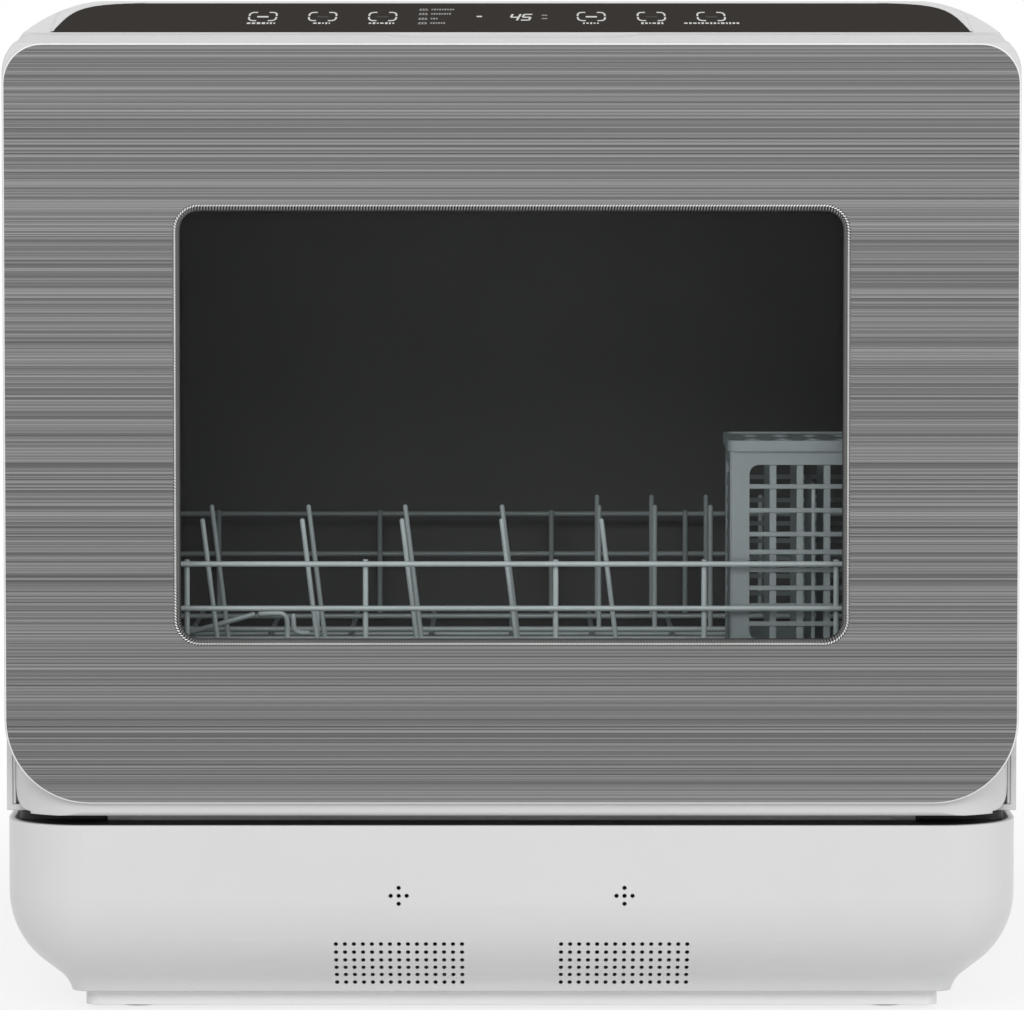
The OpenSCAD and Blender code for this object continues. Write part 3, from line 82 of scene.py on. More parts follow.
class Paintbox:
    """Node tree of one material, with short calls for the nodes that the finishes share."""

    def __init__(self, name: str) -> None:
        """Starts a material with an empty principled shader.

        Args:
            name: The material's name.
        """
        self.material = bpy.data.materials.new(name)
        self.material.use_nodes = True
        self.tree = self.material.node_tree
        self.shader = self.tree.nodes["Principled BSDF"]
        self.place = self.tree.nodes.new("ShaderNodeTexCoord").outputs["Object"]

    def add(self, kind: str, **settings: object) -> bpy.types.Node:
        """Adds a node.

        Args:
            kind: The node's type after "ShaderNode".
            settings: Attributes to set on it.

        Returns:
            The new node.
        """
        node = self.tree.nodes.new("ShaderNode" + kind)
        for key, value in settings.items():
            setattr(node, key, value)
        return node

    def join(self, source: bpy.types.NodeSocket, target: bpy.types.NodeSocket) -> None:
        """Wires one socket into another."""
        self.tree.links.new(source, target)

    def noise(self, scale: float, stretch: tuple[float, float, float] = (1, 1, 1),
              detail: float = 3.0, roughness: float = 0.5, shift: float = 0.0) -> bpy.types.NodeSocket:
        """Makes a noise in the object's own space.

        Args:
            scale: Features per metre.
            stretch: Factor on each axis.
            detail: Octaves.
            roughness: Weight of the finer octaves.
            shift: Offset that makes two noises differ.

        Returns:
            The noise's value socket.
        """
        mapping = self.add("Mapping")
        mapping.inputs["Scale"].default_value = stretch
        mapping.inputs["Location"].default_value = (shift, shift * 0.7, shift * 0.3)
        self.join(self.place, mapping.inputs["Vector"])
        node = self.add("TexNoise")
        node.inputs["Scale"].default_value = scale
        node.inputs["Detail"].default_value = detail
        node.inputs["Roughness"].default_value = roughness
        self.join(mapping.outputs["Vector"], node.inputs["Vector"])
        return node.outputs["Fac"]

    def ramp(self, value: bpy.types.NodeSocket, stops: list[tuple[float, Colour]]) -> bpy.types.NodeSocket:
        """Turns a value into a colour.

        Args:
            value: The value from 0 to 1.
            stops: Places and colours along the ramp.

        Returns:
            The ramp's colour socket.
        """
        node = self.add("ValToRGB")
        elements = node.color_ramp.elements
        while len(elements) < len(stops):
            elements.new(0.5)
        for element, (place, colour) in zip(elements, stops):
            element.position = place
            element.color = (*colour, 1.0)
        self.join(value, node.inputs["Fac"])
        return node.outputs["Color"]

    def shade(self, value: bpy.types.NodeSocket, colour: Colour, less: float, more: float) -> None:
        """Lets a noise darken and lighten the base colour.

        Args:
            value: The noise.
            colour: The colour.
            less: Factor on it in the noise's quiet places.
            more: Factor on it in the strong places.
        """
        stops = [(QUIET, tinted(colour, less)), (STRONG, tinted(colour, more))]
        self.join(self.ramp(value, stops), self.shader.inputs["Base Color"])

    def dull(self, value: bpy.types.NodeSocket, low: float, high: float) -> None:
        """Lets a noise move the roughness.

        Args:
            value: The noise.
            low: Roughness in the noise's quiet places.
            high: Roughness in the strong places.
        """
        self.join(self.spread(value, (QUIET, STRONG), (low, high)), self.shader.inputs["Roughness"])

    def spread(self, value: bpy.types.NodeSocket, given: Point, wanted: Point) -> bpy.types.NodeSocket:
        """Maps one range onto another.

        Args:
            value: The socket to map.
            given: Its range.
            wanted: The range that it is mapped onto.

        Returns:
            The mapped socket.
        """
        node = self.add("MapRange")
        for side, number in zip(("From Min", "From Max", "To Min", "To Max"), (*given, *wanted)):
            node.inputs[side].default_value = number
        self.join(value, node.inputs["Value"])
        return node.outputs["Result"]

    def sum(self, parts: list[tuple[bpy.types.NodeSocket, float]]) -> bpy.types.NodeSocket:
        """Adds weighted values.

        Args:
            parts: Sockets and their weights.

        Returns:
            The sum's socket.
        """
        total = None
        for socket, weight in parts:
            node = self.add("Math", operation="MULTIPLY_ADD")
            node.inputs[1].default_value = weight
            self.join(socket, node.inputs[0])
            if total is None:
                node.inputs[2].default_value = 0.0
            else:
                self.join(total, node.inputs[2])
            total = node.outputs[0]
        return total

    def relief(self, height: bpy.types.NodeSocket, distance: float, edge: float = 0.0) -> None:
        """Bumps the surface, over softened edges where edge is above zero.

        Args:
            height: The height's socket.
            distance: Height in metres of a full value.
            edge: Radius in metres that edges look rounded to.
        """
        bump = self.add("Bump")
        bump.inputs["Strength"].default_value = 1.0
        bump.inputs["Distance"].default_value = distance
        self.join(height, bump.inputs["Height"])
        if edge > 0:
            bevel = self.add("Bevel", samples=6)
            bevel.inputs["Radius"].default_value = edge
            self.join(bevel.outputs["Normal"], bump.inputs["Normal"])
        self.join(bump.outputs["Normal"], self.shader.inputs["Normal"])

    def fix(self, **values: object) -> None:
        """Sets numbers on the shader's own sockets, with underscores for the spaces of their names."""
        for key, value in values.items():
            self.shader.inputs[key.replace("_", " ")].default_value = value


def tinted(colour: Colour, factor: float) -> Colour:
    """Gives a colour with each channel multiplied by a factor."""
    return tuple(min(1.0, channel * factor) for channel in colour)


@dataclass(frozen=True)
class MouldedFinish:
    """Plastic, rubber or lacquer with a fine grain and a faint unevenness."""

    name: str
    colour: Colour
    roughness: float = 0.4
    grain: Grain = Grain.SATIN
    variation: float = 0.04
    edge: float = 0.6 * MM
    coat: float = 0.0
    gloss: float = 0.5

    def build(self) -> bpy.types.Material:
        """Makes the material.

        Returns:
            The finished material.
        """
        box = Paintbox(self.name)
        scale, height = self.grain.value
        cloudy = box.noise(18.0, detail=4.0)
        fine = box.noise(scale, detail=2.0)
        box.shade(cloudy, self.colour, 1 - self.variation, 1 + self.variation)
        box.dull(fine, self.roughness * 0.9, self.roughness * 1.1)
        box.relief(fine, height, self.edge)
        box.fix(Specular_IOR_Level=self.gloss)
        if self.coat:
            box.fix(Coat_Weight=self.coat, Coat_Roughness=0.08)
        return box.material


@dataclass(frozen=True)
class MetalFinish:
    """Bare metal brushed along one axis."""

    name: str
    colour: Colour
    roughness: float = 0.3
    along: tuple[float, float, float] = (0.03, 1.0, 1.0)
    metallic: float = 1.0

    def build(self) -> bpy.types.Material:
        """Makes the material.

        Returns:
            The finished material.
        """
        box = Paintbox(self.name)
        lines = box.noise(900.0, self.along, detail=3.0)
        box.shade(lines, self.colour, 0.85, 1.1)
        box.dull(lines, self.roughness * 0.75, self.roughness * 1.3)
        box.relief(lines, 0.00001, 0.3 * MM)
        box.fix(Metallic=self.metallic)
        return box.material


@dataclass(frozen=True)
class BrushedFilmFinish:
    """Dark brushed film whose level streaks run its whole width, fine and hard-edged."""

    name: str = "brushed_film"
    dark: Colour = (0.075, 0.075, 0.076)
    middle: Colour = (0.18, 0.18, 0.181)
    light: Colour = (0.3, 0.3, 0.302)

    def build(self) -> bpy.types.Material:
        """Makes the material.

        Returns:
            The finished material.
        """
        box = Paintbox(self.name)
        hair = box.noise(2200.0, (0.0002, 0.02, 1.0), detail=0.0)
        streak = box.noise(1500.0, (0.0003, 0.02, 1.0), detail=0.0, shift=3.0)
        band = box.noise(420.0, (0.001, 0.02, 1.0), detail=2.0, roughness=0.6, shift=7.0)
        mixed = box.sum([(hair, 0.38), (streak, 0.42), (band, 0.20)])
        stops = [(0.34, self.dark), (0.5, self.middle), (0.64, self.light)]
        box.join(box.ramp(mixed, stops), box.shader.inputs["Base Color"])
        box.dull(mixed, 0.55, 0.4)
        box.relief(mixed, 0.00002)
        box.fix(Metallic=0.0, Specular_IOR_Level=0.3)
        return box.material


@dataclass(frozen=True)
class ControlGlassFinish:
    """Warm black touch glass that keeps dark even when it is seen almost edge on."""

    name: str = "control_glass"
    colour: Colour = (0.030, 0.024, 0.020)
    sheen: float = 0.05

    def build(self) -> bpy.types.Material:
        """Makes the material.

        Returns:
            The finished material.
        """
        box = Paintbox(self.name)
        cloud = box.noise(30.0, detail=3.0)
        box.shade(cloud, self.colour, 0.96, 1.04)
        box.dull(cloud, 0.14, 0.2)
        box.fix(Specular_IOR_Level=0.0, Metallic=self.sheen)
        return box.material


@dataclass(frozen=True)
class GlassFinish:
    """Clear pane that lets the room's light in."""

    name: str
    tint: Colour
    cover: float
    roughness: float = 0.02

    def build(self) -> bpy.types.Material:
        """Makes the material.

        Returns:
            The finished material.
        """
        box = Paintbox(self.name)
        smear = box.noise(14.0, detail=3.0)
        box.shade(smear, self.tint, 1.0, 1.1)
        box.dull(smear, self.roughness, self.roughness * 2)
        box.fix(Alpha=self.cover, Specular_IOR_Level=0.5)
        box.material.surface_render_method = "BLENDED"
        return box.material


class Wardrobe:
    """Every finish of the machine by name, made once."""

    def __init__(self, finishes: list[object]) -> None:
        """Makes the material of each finish."""
        self.made = {finish.name: finish.build() for finish in finishes}

    def dress_nodes(self, name: str, *nodes: str) -> None:
        """Puts one finish on nodes of the frame.

        Args:
            name: The finish's name.
            nodes: The nodes' names.
        """
        for node in nodes:
            obj = frame["nodes"][node]
            for slot in obj.material_slots:
                slot.material = self.made[name]
            if not obj.material_slots:
                obj.data.materials.append(self.made[name])


@dataclass(frozen=True)
class Lamp:
    """One soft box: where it hangs, what it points at, its width and height, and its power in watts."""

    name: str
    place: Place
    aim: Place
    size: tuple[float, float]
    power: float

    def hang(self) -> None:
        """Hangs the lamp."""
        data = bpy.data.lights.new(self.name, "AREA")
        data.shape = "RECTANGLE"
        data.size, data.size_y = self.size
        data.energy = self.power
        lamp = bpy.data.objects.new(self.name, data)
        lamp.location = self.place
        lamp.rotation_euler = (Vector(self.aim) - Vector(self.place)).to_track_quat("-Z", "Y").to_euler()
        bpy.context.scene.collection.objects.link(lamp)


LAMPS = (
    Lamp("front_box", (-0.3, -2.4, 1.5), (0, -0.2, 0.25), (1.8, 1.2), 27.0),
    Lamp("right_box", (1.9, -1.0, 1.0), (0, 0, 0.25), (1.2, 1.2), 8.0),
    Lamp("top_box", (0, 0.5, 2.2), (0, 0, 0.3), (1.6, 1.6), 1.2),
)


@dataclass
class Studio:
    """Camera, lamps, floor and background."""

    eye: Place = (0.00018, -2.816, 0.408)
    pitch_down: float = math.radians(3.17)
    lens_px: float = 6176.0
    picture_w_px: float = 1024.0
    shift_down: float = -0.1
    floor_half: float = 6.0
    floor_tone: Colour = (0.9, 0.9, 0.9)
    fade_from: float = 0.3
    fade_to: float = 0.75
    seen_share: float = 0.2
    room_light: float = 0.5

    def place_camera(self) -> None:
        """Stands the camera in front of the door, almost level."""
        data = bpy.data.cameras.new("front_camera")
        data.sensor_width = 36.0
        data.lens = self.lens_px / self.picture_w_px * data.sensor_width
        data.shift_y = self.shift_down
        data.clip_start = 0.05
        data.clip_end = 60.0
        camera = bpy.data.objects.new("front_camera", data)
        camera.location = self.eye
        camera.rotation_euler = (math.pi / 2 - self.pitch_down, 0.0, 0.0)
        bpy.context.scene.collection.objects.link(camera)
        bpy.context.scene.camera = camera

    def lay_floor(self) -> None:
        """Lays the pale floor, which fades into the white backdrop where it is seen."""
        mesh = bpy.data.meshes.new("floor")
        half = self.floor_half
        corners = [(-half, -half, 0), (half, -half, 0), (half, half, 0), (-half, half, 0)]
        mesh.from_pydata(corners, [], [(0, 1, 2, 3)])
        floor = bpy.data.objects.new("floor", mesh)
        bpy.context.scene.collection.objects.link(floor)
        box = Paintbox("floor")
        box.shade(box.noise(2.0), self.floor_tone, 0.99, 1.0)
        box.fix(Roughness=0.9)
        away = box.add("VectorMath", operation="LENGTH")
        box.join(box.place, away.inputs[0])
        fade = box.spread(away.outputs["Value"], (self.fade_from, self.fade_to), (self.seen_share, 0.0))
        unseen = box.add("Math", operation="SUBTRACT")
        unseen.inputs[0].default_value = 1.0
        box.join(self.seen(box.tree), unseen.inputs[1])
        share = box.add("Math", operation="MAXIMUM")
        box.join(fade, share.inputs[0])
        box.join(unseen.outputs[0], share.inputs[1])
        box.join(share.outputs[0], box.shader.inputs["Alpha"])
        floor.data.materials.append(box.material)

    def seen(self, tree: bpy.types.NodeTree) -> bpy.types.NodeSocket:
        """Joins the rays that look rather than light.

        Args:
            tree: The node tree to add to.

        Returns:
            A socket that gives 1 for those rays and 0 for the others.
        """
        path = tree.nodes.new("ShaderNodeLightPath")
        found = path.outputs[Ray.CAMERA.value]
        for ray in (Ray.GLOSSY, Ray.THROUGH):
            step = tree.nodes.new("ShaderNodeMath")
            step.operation = "MAXIMUM"
            tree.links.new(path.outputs[ray.value], step.inputs[0])
            tree.links.new(found, step.inputs[1])
            found = step.outputs[0]
        return found

    def light_room(self) -> None:
        """Sets the world's light: a soft grey to surfaces, and white where it is seen."""
        world = bpy.data.worlds.new("studio")
        bpy.context.scene.world = world
        world.use_nodes = True
        tree = world.node_tree
        back = tree.nodes["Background"]
        strength = tree.nodes.new("ShaderNodeMapRange")
        strength.inputs["To Min"].default_value = self.room_light
        strength.inputs["To Max"].default_value = 1.0
        tree.links.new(self.seen(tree), strength.inputs["Value"])
        tree.links.new(strength.outputs["Result"], back.inputs["Strength"])
        back.inputs["Color"].default_value = (1.0, 1.0, 1.0, 1.0)

    def build(self) -> None:
        """Makes the whole set."""
        self.place_camera()
        self.lay_floor()
        self.light_room()
        for lamp in LAMPS:
            lamp.hang()
        bpy.context.scene.view_settings.view_transform = "Standard"


FINISHES = [
    MouldedFinish("white_shell", (0.72, 0.72, 0.722), 0.34, Grain.POLISHED, 0.01, 0.8 * MM, 0.2),
    # door_white_painted_shade: the shell's white plastic made darker for the door frame: painted shade on its
    # top strip
    MouldedFinish("door_white_painted_shade", (0.67, 0.67, 0.672), 0.35, Grain.POLISHED, 0.01, 0.8 * MM, 0.1, gloss=0.4),
    MouldedFinish("rear_grey", (0.5, 0.51, 0.52), 0.5, Grain.SPARK, 0.03),
    # dark_trim: black plastic, as on the drain spigot; on the deck under the door's gap (shadow_trim) the
    # black also paints the gap's shade
    MouldedFinish("dark_trim", (0.012, 0.012, 0.013), 0.5, Grain.SATIN, 0.1),
    # gap_gloss: near white on a strip deep in the gap's shade: painted light standing in for the reflection
    # on that dark glossy strip
    MouldedFinish("gap_gloss", (0.95, 0.95, 0.95), 0.35, Grain.POLISHED, 0.1),
    # edge_highlight_white: whiter than the door frame, a painted highlight on the bead round the film
    MouldedFinish("edge_highlight_white", (0.95, 0.95, 0.95), 0.3, Grain.POLISHED, 0.01, 0.0, 0.2),
    # gap_end_painted_light: the same near-white painted light for the strip's ends
    MouldedFinish("gap_end_painted_light", (0.95, 0.95, 0.95), 0.3, Grain.POLISHED, 0.1),
    # plinth_white_painted_light: the shell's white made brighter for the plinth: painted light against the
    # shade under the base's overhang
    MouldedFinish("plinth_white_painted_light", (0.9, 0.9, 0.9), 0.4, Grain.POLISHED, 0.01, 0.8 * MM, gloss=0.3),
    MouldedFinish("foot_rubber", (0.02, 0.02, 0.02), 0.75, Grain.RUBBER, 0.15),
    ControlGlassFinish(),
    MouldedFinish("circuit_board", (0.02, 0.12, 0.05), 0.35, Grain.SATIN, 0.15, 0.2 * MM),
    MouldedFinish("tub_grey", (0.14, 0.14, 0.141), 0.42, Grain.SATIN, 0.08, gloss=0.3),
    MouldedFinish("track_grey", (0.16, 0.18, 0.185), 0.45, Grain.SATIN, 0.06, 0.3 * MM),
    MouldedFinish("pale_plastic", (0.34, 0.38, 0.39), 0.4, Grain.SATIN, 0.05, 0.4 * MM),
    MetalFinish("bright_steel", (0.55, 0.55, 0.56), 0.28),
    MouldedFinish("motor_metal", (0.12, 0.125, 0.13), 0.45, Grain.SPARK, 0.15),
    MouldedFinish("tank_plastic", (0.6, 0.64, 0.66), 0.35, Grain.SATIN, 0.04, 1.0 * MM),
    MetalFinish("inlet_brass", (0.62, 0.61, 0.58), 0.2),
    BrushedFilmFinish(),
    MetalFinish("bezel_silver", (0.95, 0.95, 0.94), 0.4, metallic=0.3),
    # cord_bed_painted_shade: the bezel under the cord made black: painted shade in the gaps between the
    # strands
    MouldedFinish("cord_bed_painted_shade", (0.01, 0.01, 0.01), 0.6, Grain.SATIN, 0.1, 0.0, gloss=0.2),
    MouldedFinish("dot_silver", (0.32, 0.32, 0.315), 0.5, Grain.SATIN, 0.1, 0.0, gloss=0.2),
    GlassFinish("window_glass", (0.02, 0.022, 0.022), 0.03),
    MouldedFinish("liner_grey", (0.16, 0.165, 0.17), 0.4, Grain.SATIN, 0.05),
    MouldedFinish("rack_coating", (0.6, 0.69, 0.7), 0.3, Grain.POLISHED, 0.08, 0.0, 0.3),
    MouldedFinish("basket_plastic", (0.326, 0.382, 0.392), 0.42, Grain.SATIN, 0.05, 0.25 * MM),
    MouldedFinish("glyph_white", (0.82, 0.82, 0.8), 0.4, Grain.SATIN, 0.04, 0.0, gloss=0.0),
    MouldedFinish("glyph_dim", (0.42, 0.41, 0.4), 0.4, Grain.SATIN, 0.08, 0.0, gloss=0.0),
    MouldedFinish("glyph_faint", (0.1, 0.095, 0.09), 0.4, Grain.SATIN, 0.08, 0.0, gloss=0.0),
    MouldedFinish("dot_black", (0.006, 0.006, 0.006), 0.5, Grain.POLISHED, 0.1, 0.0, gloss=0.2),
    MetalFinish("screw_steel", (0.5, 0.5, 0.51), 0.3),
]


# ---------- Shapes ----------

def rounded(width: float, height: float, radius: float, x: float = 0.0, y: float = 0.0,
            steps: int = 8) -> list[Point]:
    """Gives the outline of a rounded rectangle.

    Args:
        width: Its width.
        height: Its height.
        radius: Its corner radius.
        x: Its middle across.
        y: Its middle up.
        steps: Sides of each corner.

    Returns:
        Points, anticlockwise.
    """
    radius = max(radius, 0.001)
    points = []
    for turn, (sx, sy) in enumerate(((1, 1), (-1, 1), (-1, -1), (1, -1))):
        for i in range(steps + 1):
            angle = math.pi / 2 * (turn + i / steps)
            points.append((x + sx * (width / 2 - radius) + radius * math.cos(angle),
                           y + sy * (height / 2 - radius) + radius * math.sin(angle)))
    return points


def oblong(left: float, right: float, low: float, high: float) -> list[Point]:
    """Gives the outline of an upright rectangle."""
    return [(left, low), (right, low), (right, high), (left, high)]


def disc(radius: float, x: float, y: float, sides: int) -> list[Point]:
    """Gives the outline of a circle round a middle."""
    turns = [math.tau * i / sides for i in range(sides)]
    return [(x + radius * math.cos(turn), y + radius * math.sin(turn)) for turn in turns]


def lens(width: float, height: float, x: float, y: float, steps: int = 10) -> list[Point]:
    """Gives the outline of a lens: two arcs that meet in points left and right.

    Args:
        width: Its width.
        height: Its height.
        x: Its middle across.
        y: Its middle up.
        steps: Sides of each arc.

    Returns:
        Points, anticlockwise.
    """
    turns = [math.pi * i / steps for i in range(steps)]
    arc = [(x + width / 2 * math.cos(turn), y + height / 2 * math.sin(turn) ** 0.8) for turn in turns]
    return arc + [(2 * x - px, 2 * y - py) for px, py in arc]


def bent(corners: list[Place], radius: float, steps: int = 6) -> list[Vector]:
    """Rounds the inner corners of a run of wire.

    Args:
        corners: The run's ends and corners.
        radius: Bend radius of the corners.
        steps: Sides of each bend.

    Returns:
        Points along the run.
    """
    points = [Vector(c) for c in corners]
    run = [points[0]]
    for before, here, after in zip(points, points[1:], points[2:]):
        back, ahead = (before - here), (after - here)
        reach = min(radius, back.length * 0.49, ahead.length * 0.49)
        start, end = here + back.normalized() * reach, here + ahead.normalized() * reach
        for i in range(steps + 1):
            t = i / steps
            run.append(start.lerp(here, t).lerp(here.lerp(end, t), t))
    return run + [points[-1]]


def facing(direction: Vector, place: Vector) -> Matrix:
    """Gives the placing that turns +Z along a direction at a place."""
    return Matrix.Translation(place) @ direction.to_track_quat("Z", "Y").to_matrix().to_4x4()


# Placings that stand a flat drawing up. Its thickness grows to the front, back, right and left in turn.
UPRIGHT = Matrix(((1, 0, 0, 0), (0, 0, -1, 0), (0, 1, 0, 0), (0, 0, 0, 1)))
INWARD = Matrix(((1, 0, 0, 0), (0, 0, 1, 0), (0, 1, 0, 0), (0, 0, 0, 1)))
RIGHTWARD = Matrix(((0, 0, 1, 0), (1, 0, 0, 0), (0, 1, 0, 0), (0, 0, 0, 1)))
LEFTWARD = Matrix(((0, 0, -1, 0), (1, 0, 0, 0), (0, 1, 0, 0), (0, 0, 0, 1)))
BACK = Vector((0, 1, 0))


class Mould:
    """One piece's mesh while it is made, in millimetres."""

    # A round wire's end, as shares of its radius: across, and how far along.
    ROUND_END = [(0.35, 0.0), (0.8, 0.2), (1.0, 0.55)]
    # A half-round ridge, as shares of its breadth and height.
    HALF_ROUND = [(0.0, -0.2), (0.12, 0.55), (0.3, 0.9), (0.5, 1.0), (0.7, 0.9), (0.88, 0.55), (1.0, -0.2)]

    def __init__(self, name: str) -> None:
        """Starts an empty piece under a name."""
        self.name = name
        self.mesh = bmesh.new()

    def plate(self, outer: list[Point], thick: float, place: Matrix,
              holes: list[list[Point]] | None = None) -> None:
        """Adds a flat plate with holes.

        Args:
            outer: Its outline.
            thick: Its thickness along +Z.
            place: Where it goes.
            holes: Outlines of its holes.
        """
        loops = [outer] + (holes or [])
        flat = [[Vector((x, y, 0)) for x, y in loop] for loop in loops]
        low = [self.mesh.verts.new(place @ p) for loop in flat for p in loop]
        high = [self.mesh.verts.new(place @ (p + Vector((0, 0, thick)))) for loop in flat for p in loop]
        for a, b, c in tessellate_polygon(flat):
            self.mesh.faces.new((low[a], low[b], low[c]))
            self.mesh.faces.new((high[c], high[b], high[a]))
        start = 0
        for loop in flat:
            count = len(loop)
            for i in range(count):
                a, b = start + i, start + (i + 1) % count
                self.mesh.faces.new((low[a], low[b], high[b], high[a]))
            start += count

    def block(self, low: Place, high: Place, chamfer: float) -> None:
        """Adds a box with its edges broken.

        Args:
            low: Its lowest corner.
            high: Its highest corner.
            chamfer: How far its edges are broken.
        """
        size = Vector(high) - Vector(low)
        place = Matrix.Translation((Vector(high) + Vector(low)) / 2) @ Matrix.Diagonal((*size, 1))
        made = bmesh.ops.create_cube(self.mesh, size=1.0, matrix=place)
        edges = list(dict.fromkeys(edge for vert in made["verts"] for edge in vert.link_edges))
        bmesh.ops.bevel(self.mesh, geom=edges, offset=chamfer, segments=2, affect="EDGES", profile=0.5)

    def rings(self, rows: list[list[Vector]], closed: bool = False) -> None:
        """Skins rows of points into a closed surface.

        Args:
            rows: Rings of points, each with the same number of points.
            closed: Whether the last ring joins the first.
        """
        made = [[self.mesh.verts.new(point) for point in row] for row in rows]
        pairs = list(zip(made, made[1:])) + ([(made[-1], made[0])] if closed else [])
        for row, following in pairs:
            count = len(row)
            for i in range(count):
                self.mesh.faces.new((row[i], row[(i + 1) % count], following[(i + 1) % count], following[i]))
        if not closed:
            self.mesh.faces.new(made[0][::-1])
            self.mesh.faces.new(made[-1])

    def wire(self, path: list[Vector], radius: float, sides: int = 12, closed: bool = False) -> None:
        """Adds a round wire with rounded ends along a path.

        Args:
            path: Points along it.
            radius: The wire's radius.
            sides: Sides of its section.
            closed: Whether it joins up.
        """
        count = len(path)
        rows = []
        side = None
        for i, here in enumerate(path):
            before = path[i - 1] if (i or closed) else here
            after = path[(i + 1) % count] if (i < count - 1 or closed) else here
            ahead = (after - before).normalized()
            if side is None:
                side = ahead.orthogonal().normalized()
            side = (side - ahead * side.dot(ahead)).normalized()
            up = ahead.cross(side)
            turns = [math.tau * k / sides for k in range(sides)]
            spokes = [side * math.cos(turn) + up * math.sin(turn) for turn in turns]
            cuts = [(1.0, 0.0)]
            if not closed and i == 0:
                cuts = self.ROUND_END
            elif not closed and i == count - 1:
                cuts = [(share, -shift) for share, shift in self.ROUND_END[::-1]]
            for share, shift in cuts:
                rows.append([here + ahead * radius * shift + spoke * radius * share for spoke in spokes])
        self.rings(rows, closed)

    def lathe(self, profile: list[Point], place: Matrix, sides: int, bored: bool = False) -> None:
        """Turns a profile of radius and height round +Z.

        Args:
            profile: Radius and height, from one end of the axis to the other.
            place: Where it goes.
            sides: Sides round the axis.
            bored: Whether the profile closes round a bore.
        """
        turns = [math.tau * i / sides for i in range(sides)]
        self.rings([[place @ Vector((r * math.cos(turn), r * math.sin(turn), z)) for turn in turns]
                    for r, z in profile], bored)

    def screw(self, place: Matrix, dome: list[Point], sides: int,
              cross: tuple[float, float, float, float]) -> None:
        """Adds a domed screw head with a cross.

        Args:
            place: Where its foot goes.
            dome: Radius and height of its profile.
            sides: Sides round it.
            cross: Length, width, thickness and foot height of the cross's strokes.
        """
        length, width, thick, foot = cross
        self.lathe(dome, place, sides)
        for turn in (0.25, 0.75):
            stroke = place @ Matrix.Rotation(math.pi * turn, 4, "Z") @ Matrix.Translation((0, 0, foot))
            self.plate(rounded(length, width, 0.2, 0, 0, 2), thick, stroke)

    def ridge(self, x: tuple[float, float], z: tuple[float, float], radius: float, breadth: float,
              height: float, face: float, open_below: bool = False) -> None:
        """Runs a half-round ridge round a rounded rectangle on an upright face that looks back.

        Args:
            x: Left and right side of the rectangle.
            z: Its lower and upper side.
            radius: Its corner radius.
            breadth: The ridge's breadth, inwards from the rectangle.
            height: How far it stands proud.
            face: How far back the face lies.
            open_below: Whether the lower side is left out, and both sides taper to an end there.
        """
        rows = []
        for across, up in self.HALF_ROUND:
            inset = breadth * across
            loop = rounded(x[1] - x[0] - 2 * inset, z[1] - z[0] - 2 * inset, radius - inset,
                           (x[0] + x[1]) / 2, (z[0] + z[1]) / 2)
            row = [Vector((px, face + up * height, pz)) for px, pz in loop]
            if open_below:
                row = row[:len(row) // 2]
                for end in (row[0], row[-1]):
                    tip = [Vector((end.x, face + up * height * share, z[0] - run))
                           for share, run in ((1.0, 0.0), (0.15, height * 2))]
                    row = tip[::-1] + row if end is row[0] else row + tip
            rows.append(row)
        if open_below:
            self.rings([list(section) for section in zip(*rows)])
        else:
            self.rings(rows, closed=True)

    def done(self, wardrobe: Wardrobe, finish: str, body: str, *replaced: str, sharp: float = 32.0,
             slot: str = "") -> None:
        """Makes the object, dresses it and lets it ride.

        Args:
            wardrobe: The finishes.
            finish: The finish's name.
            body: The body that it rides on.
            replaced: Nodes of the frame that it stands for.
            sharp: Angle in degrees over which an edge stays crisp.
            slot: The record's slot, where it isn't the finish's name. Not used.
        """
        bmesh.ops.recalc_face_normals(self.mesh, faces=self.mesh.faces)
        bmesh.ops.scale(self.mesh, vec=(MM, MM, MM), verts=self.mesh.verts)
        mesh = bpy.data.meshes.new(self.name)
        self.mesh.to_mesh(mesh)
        self.mesh.free()
        mesh.polygons.foreach_set("use_smooth", [True] * len(mesh.polygons))
        mesh.set_sharp_from_angle(angle=math.radians(sharp))
        mesh.materials.append(wardrobe.made[finish])
        obj = bpy.data.objects.new(self.name, mesh)
        bpy.context.scene.collection.objects.link(obj)
        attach(obj, body)
        if replaced:
            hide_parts(*replaced)
        LOG.info("made %s: %d faces, on %s", self.name, len(mesh.polygons), body)


def span(node: str) -> tuple[Vector, Vector]:
    """Gives a node's lowest and highest corner in millimetres."""
    low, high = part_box(node)
    return low / MM, high / MM


@dataclass
class Fitting:
    """Fine pieces that are dressed from one wardrobe."""

    wardrobe: Wardrobe


# ---------- Door ----------

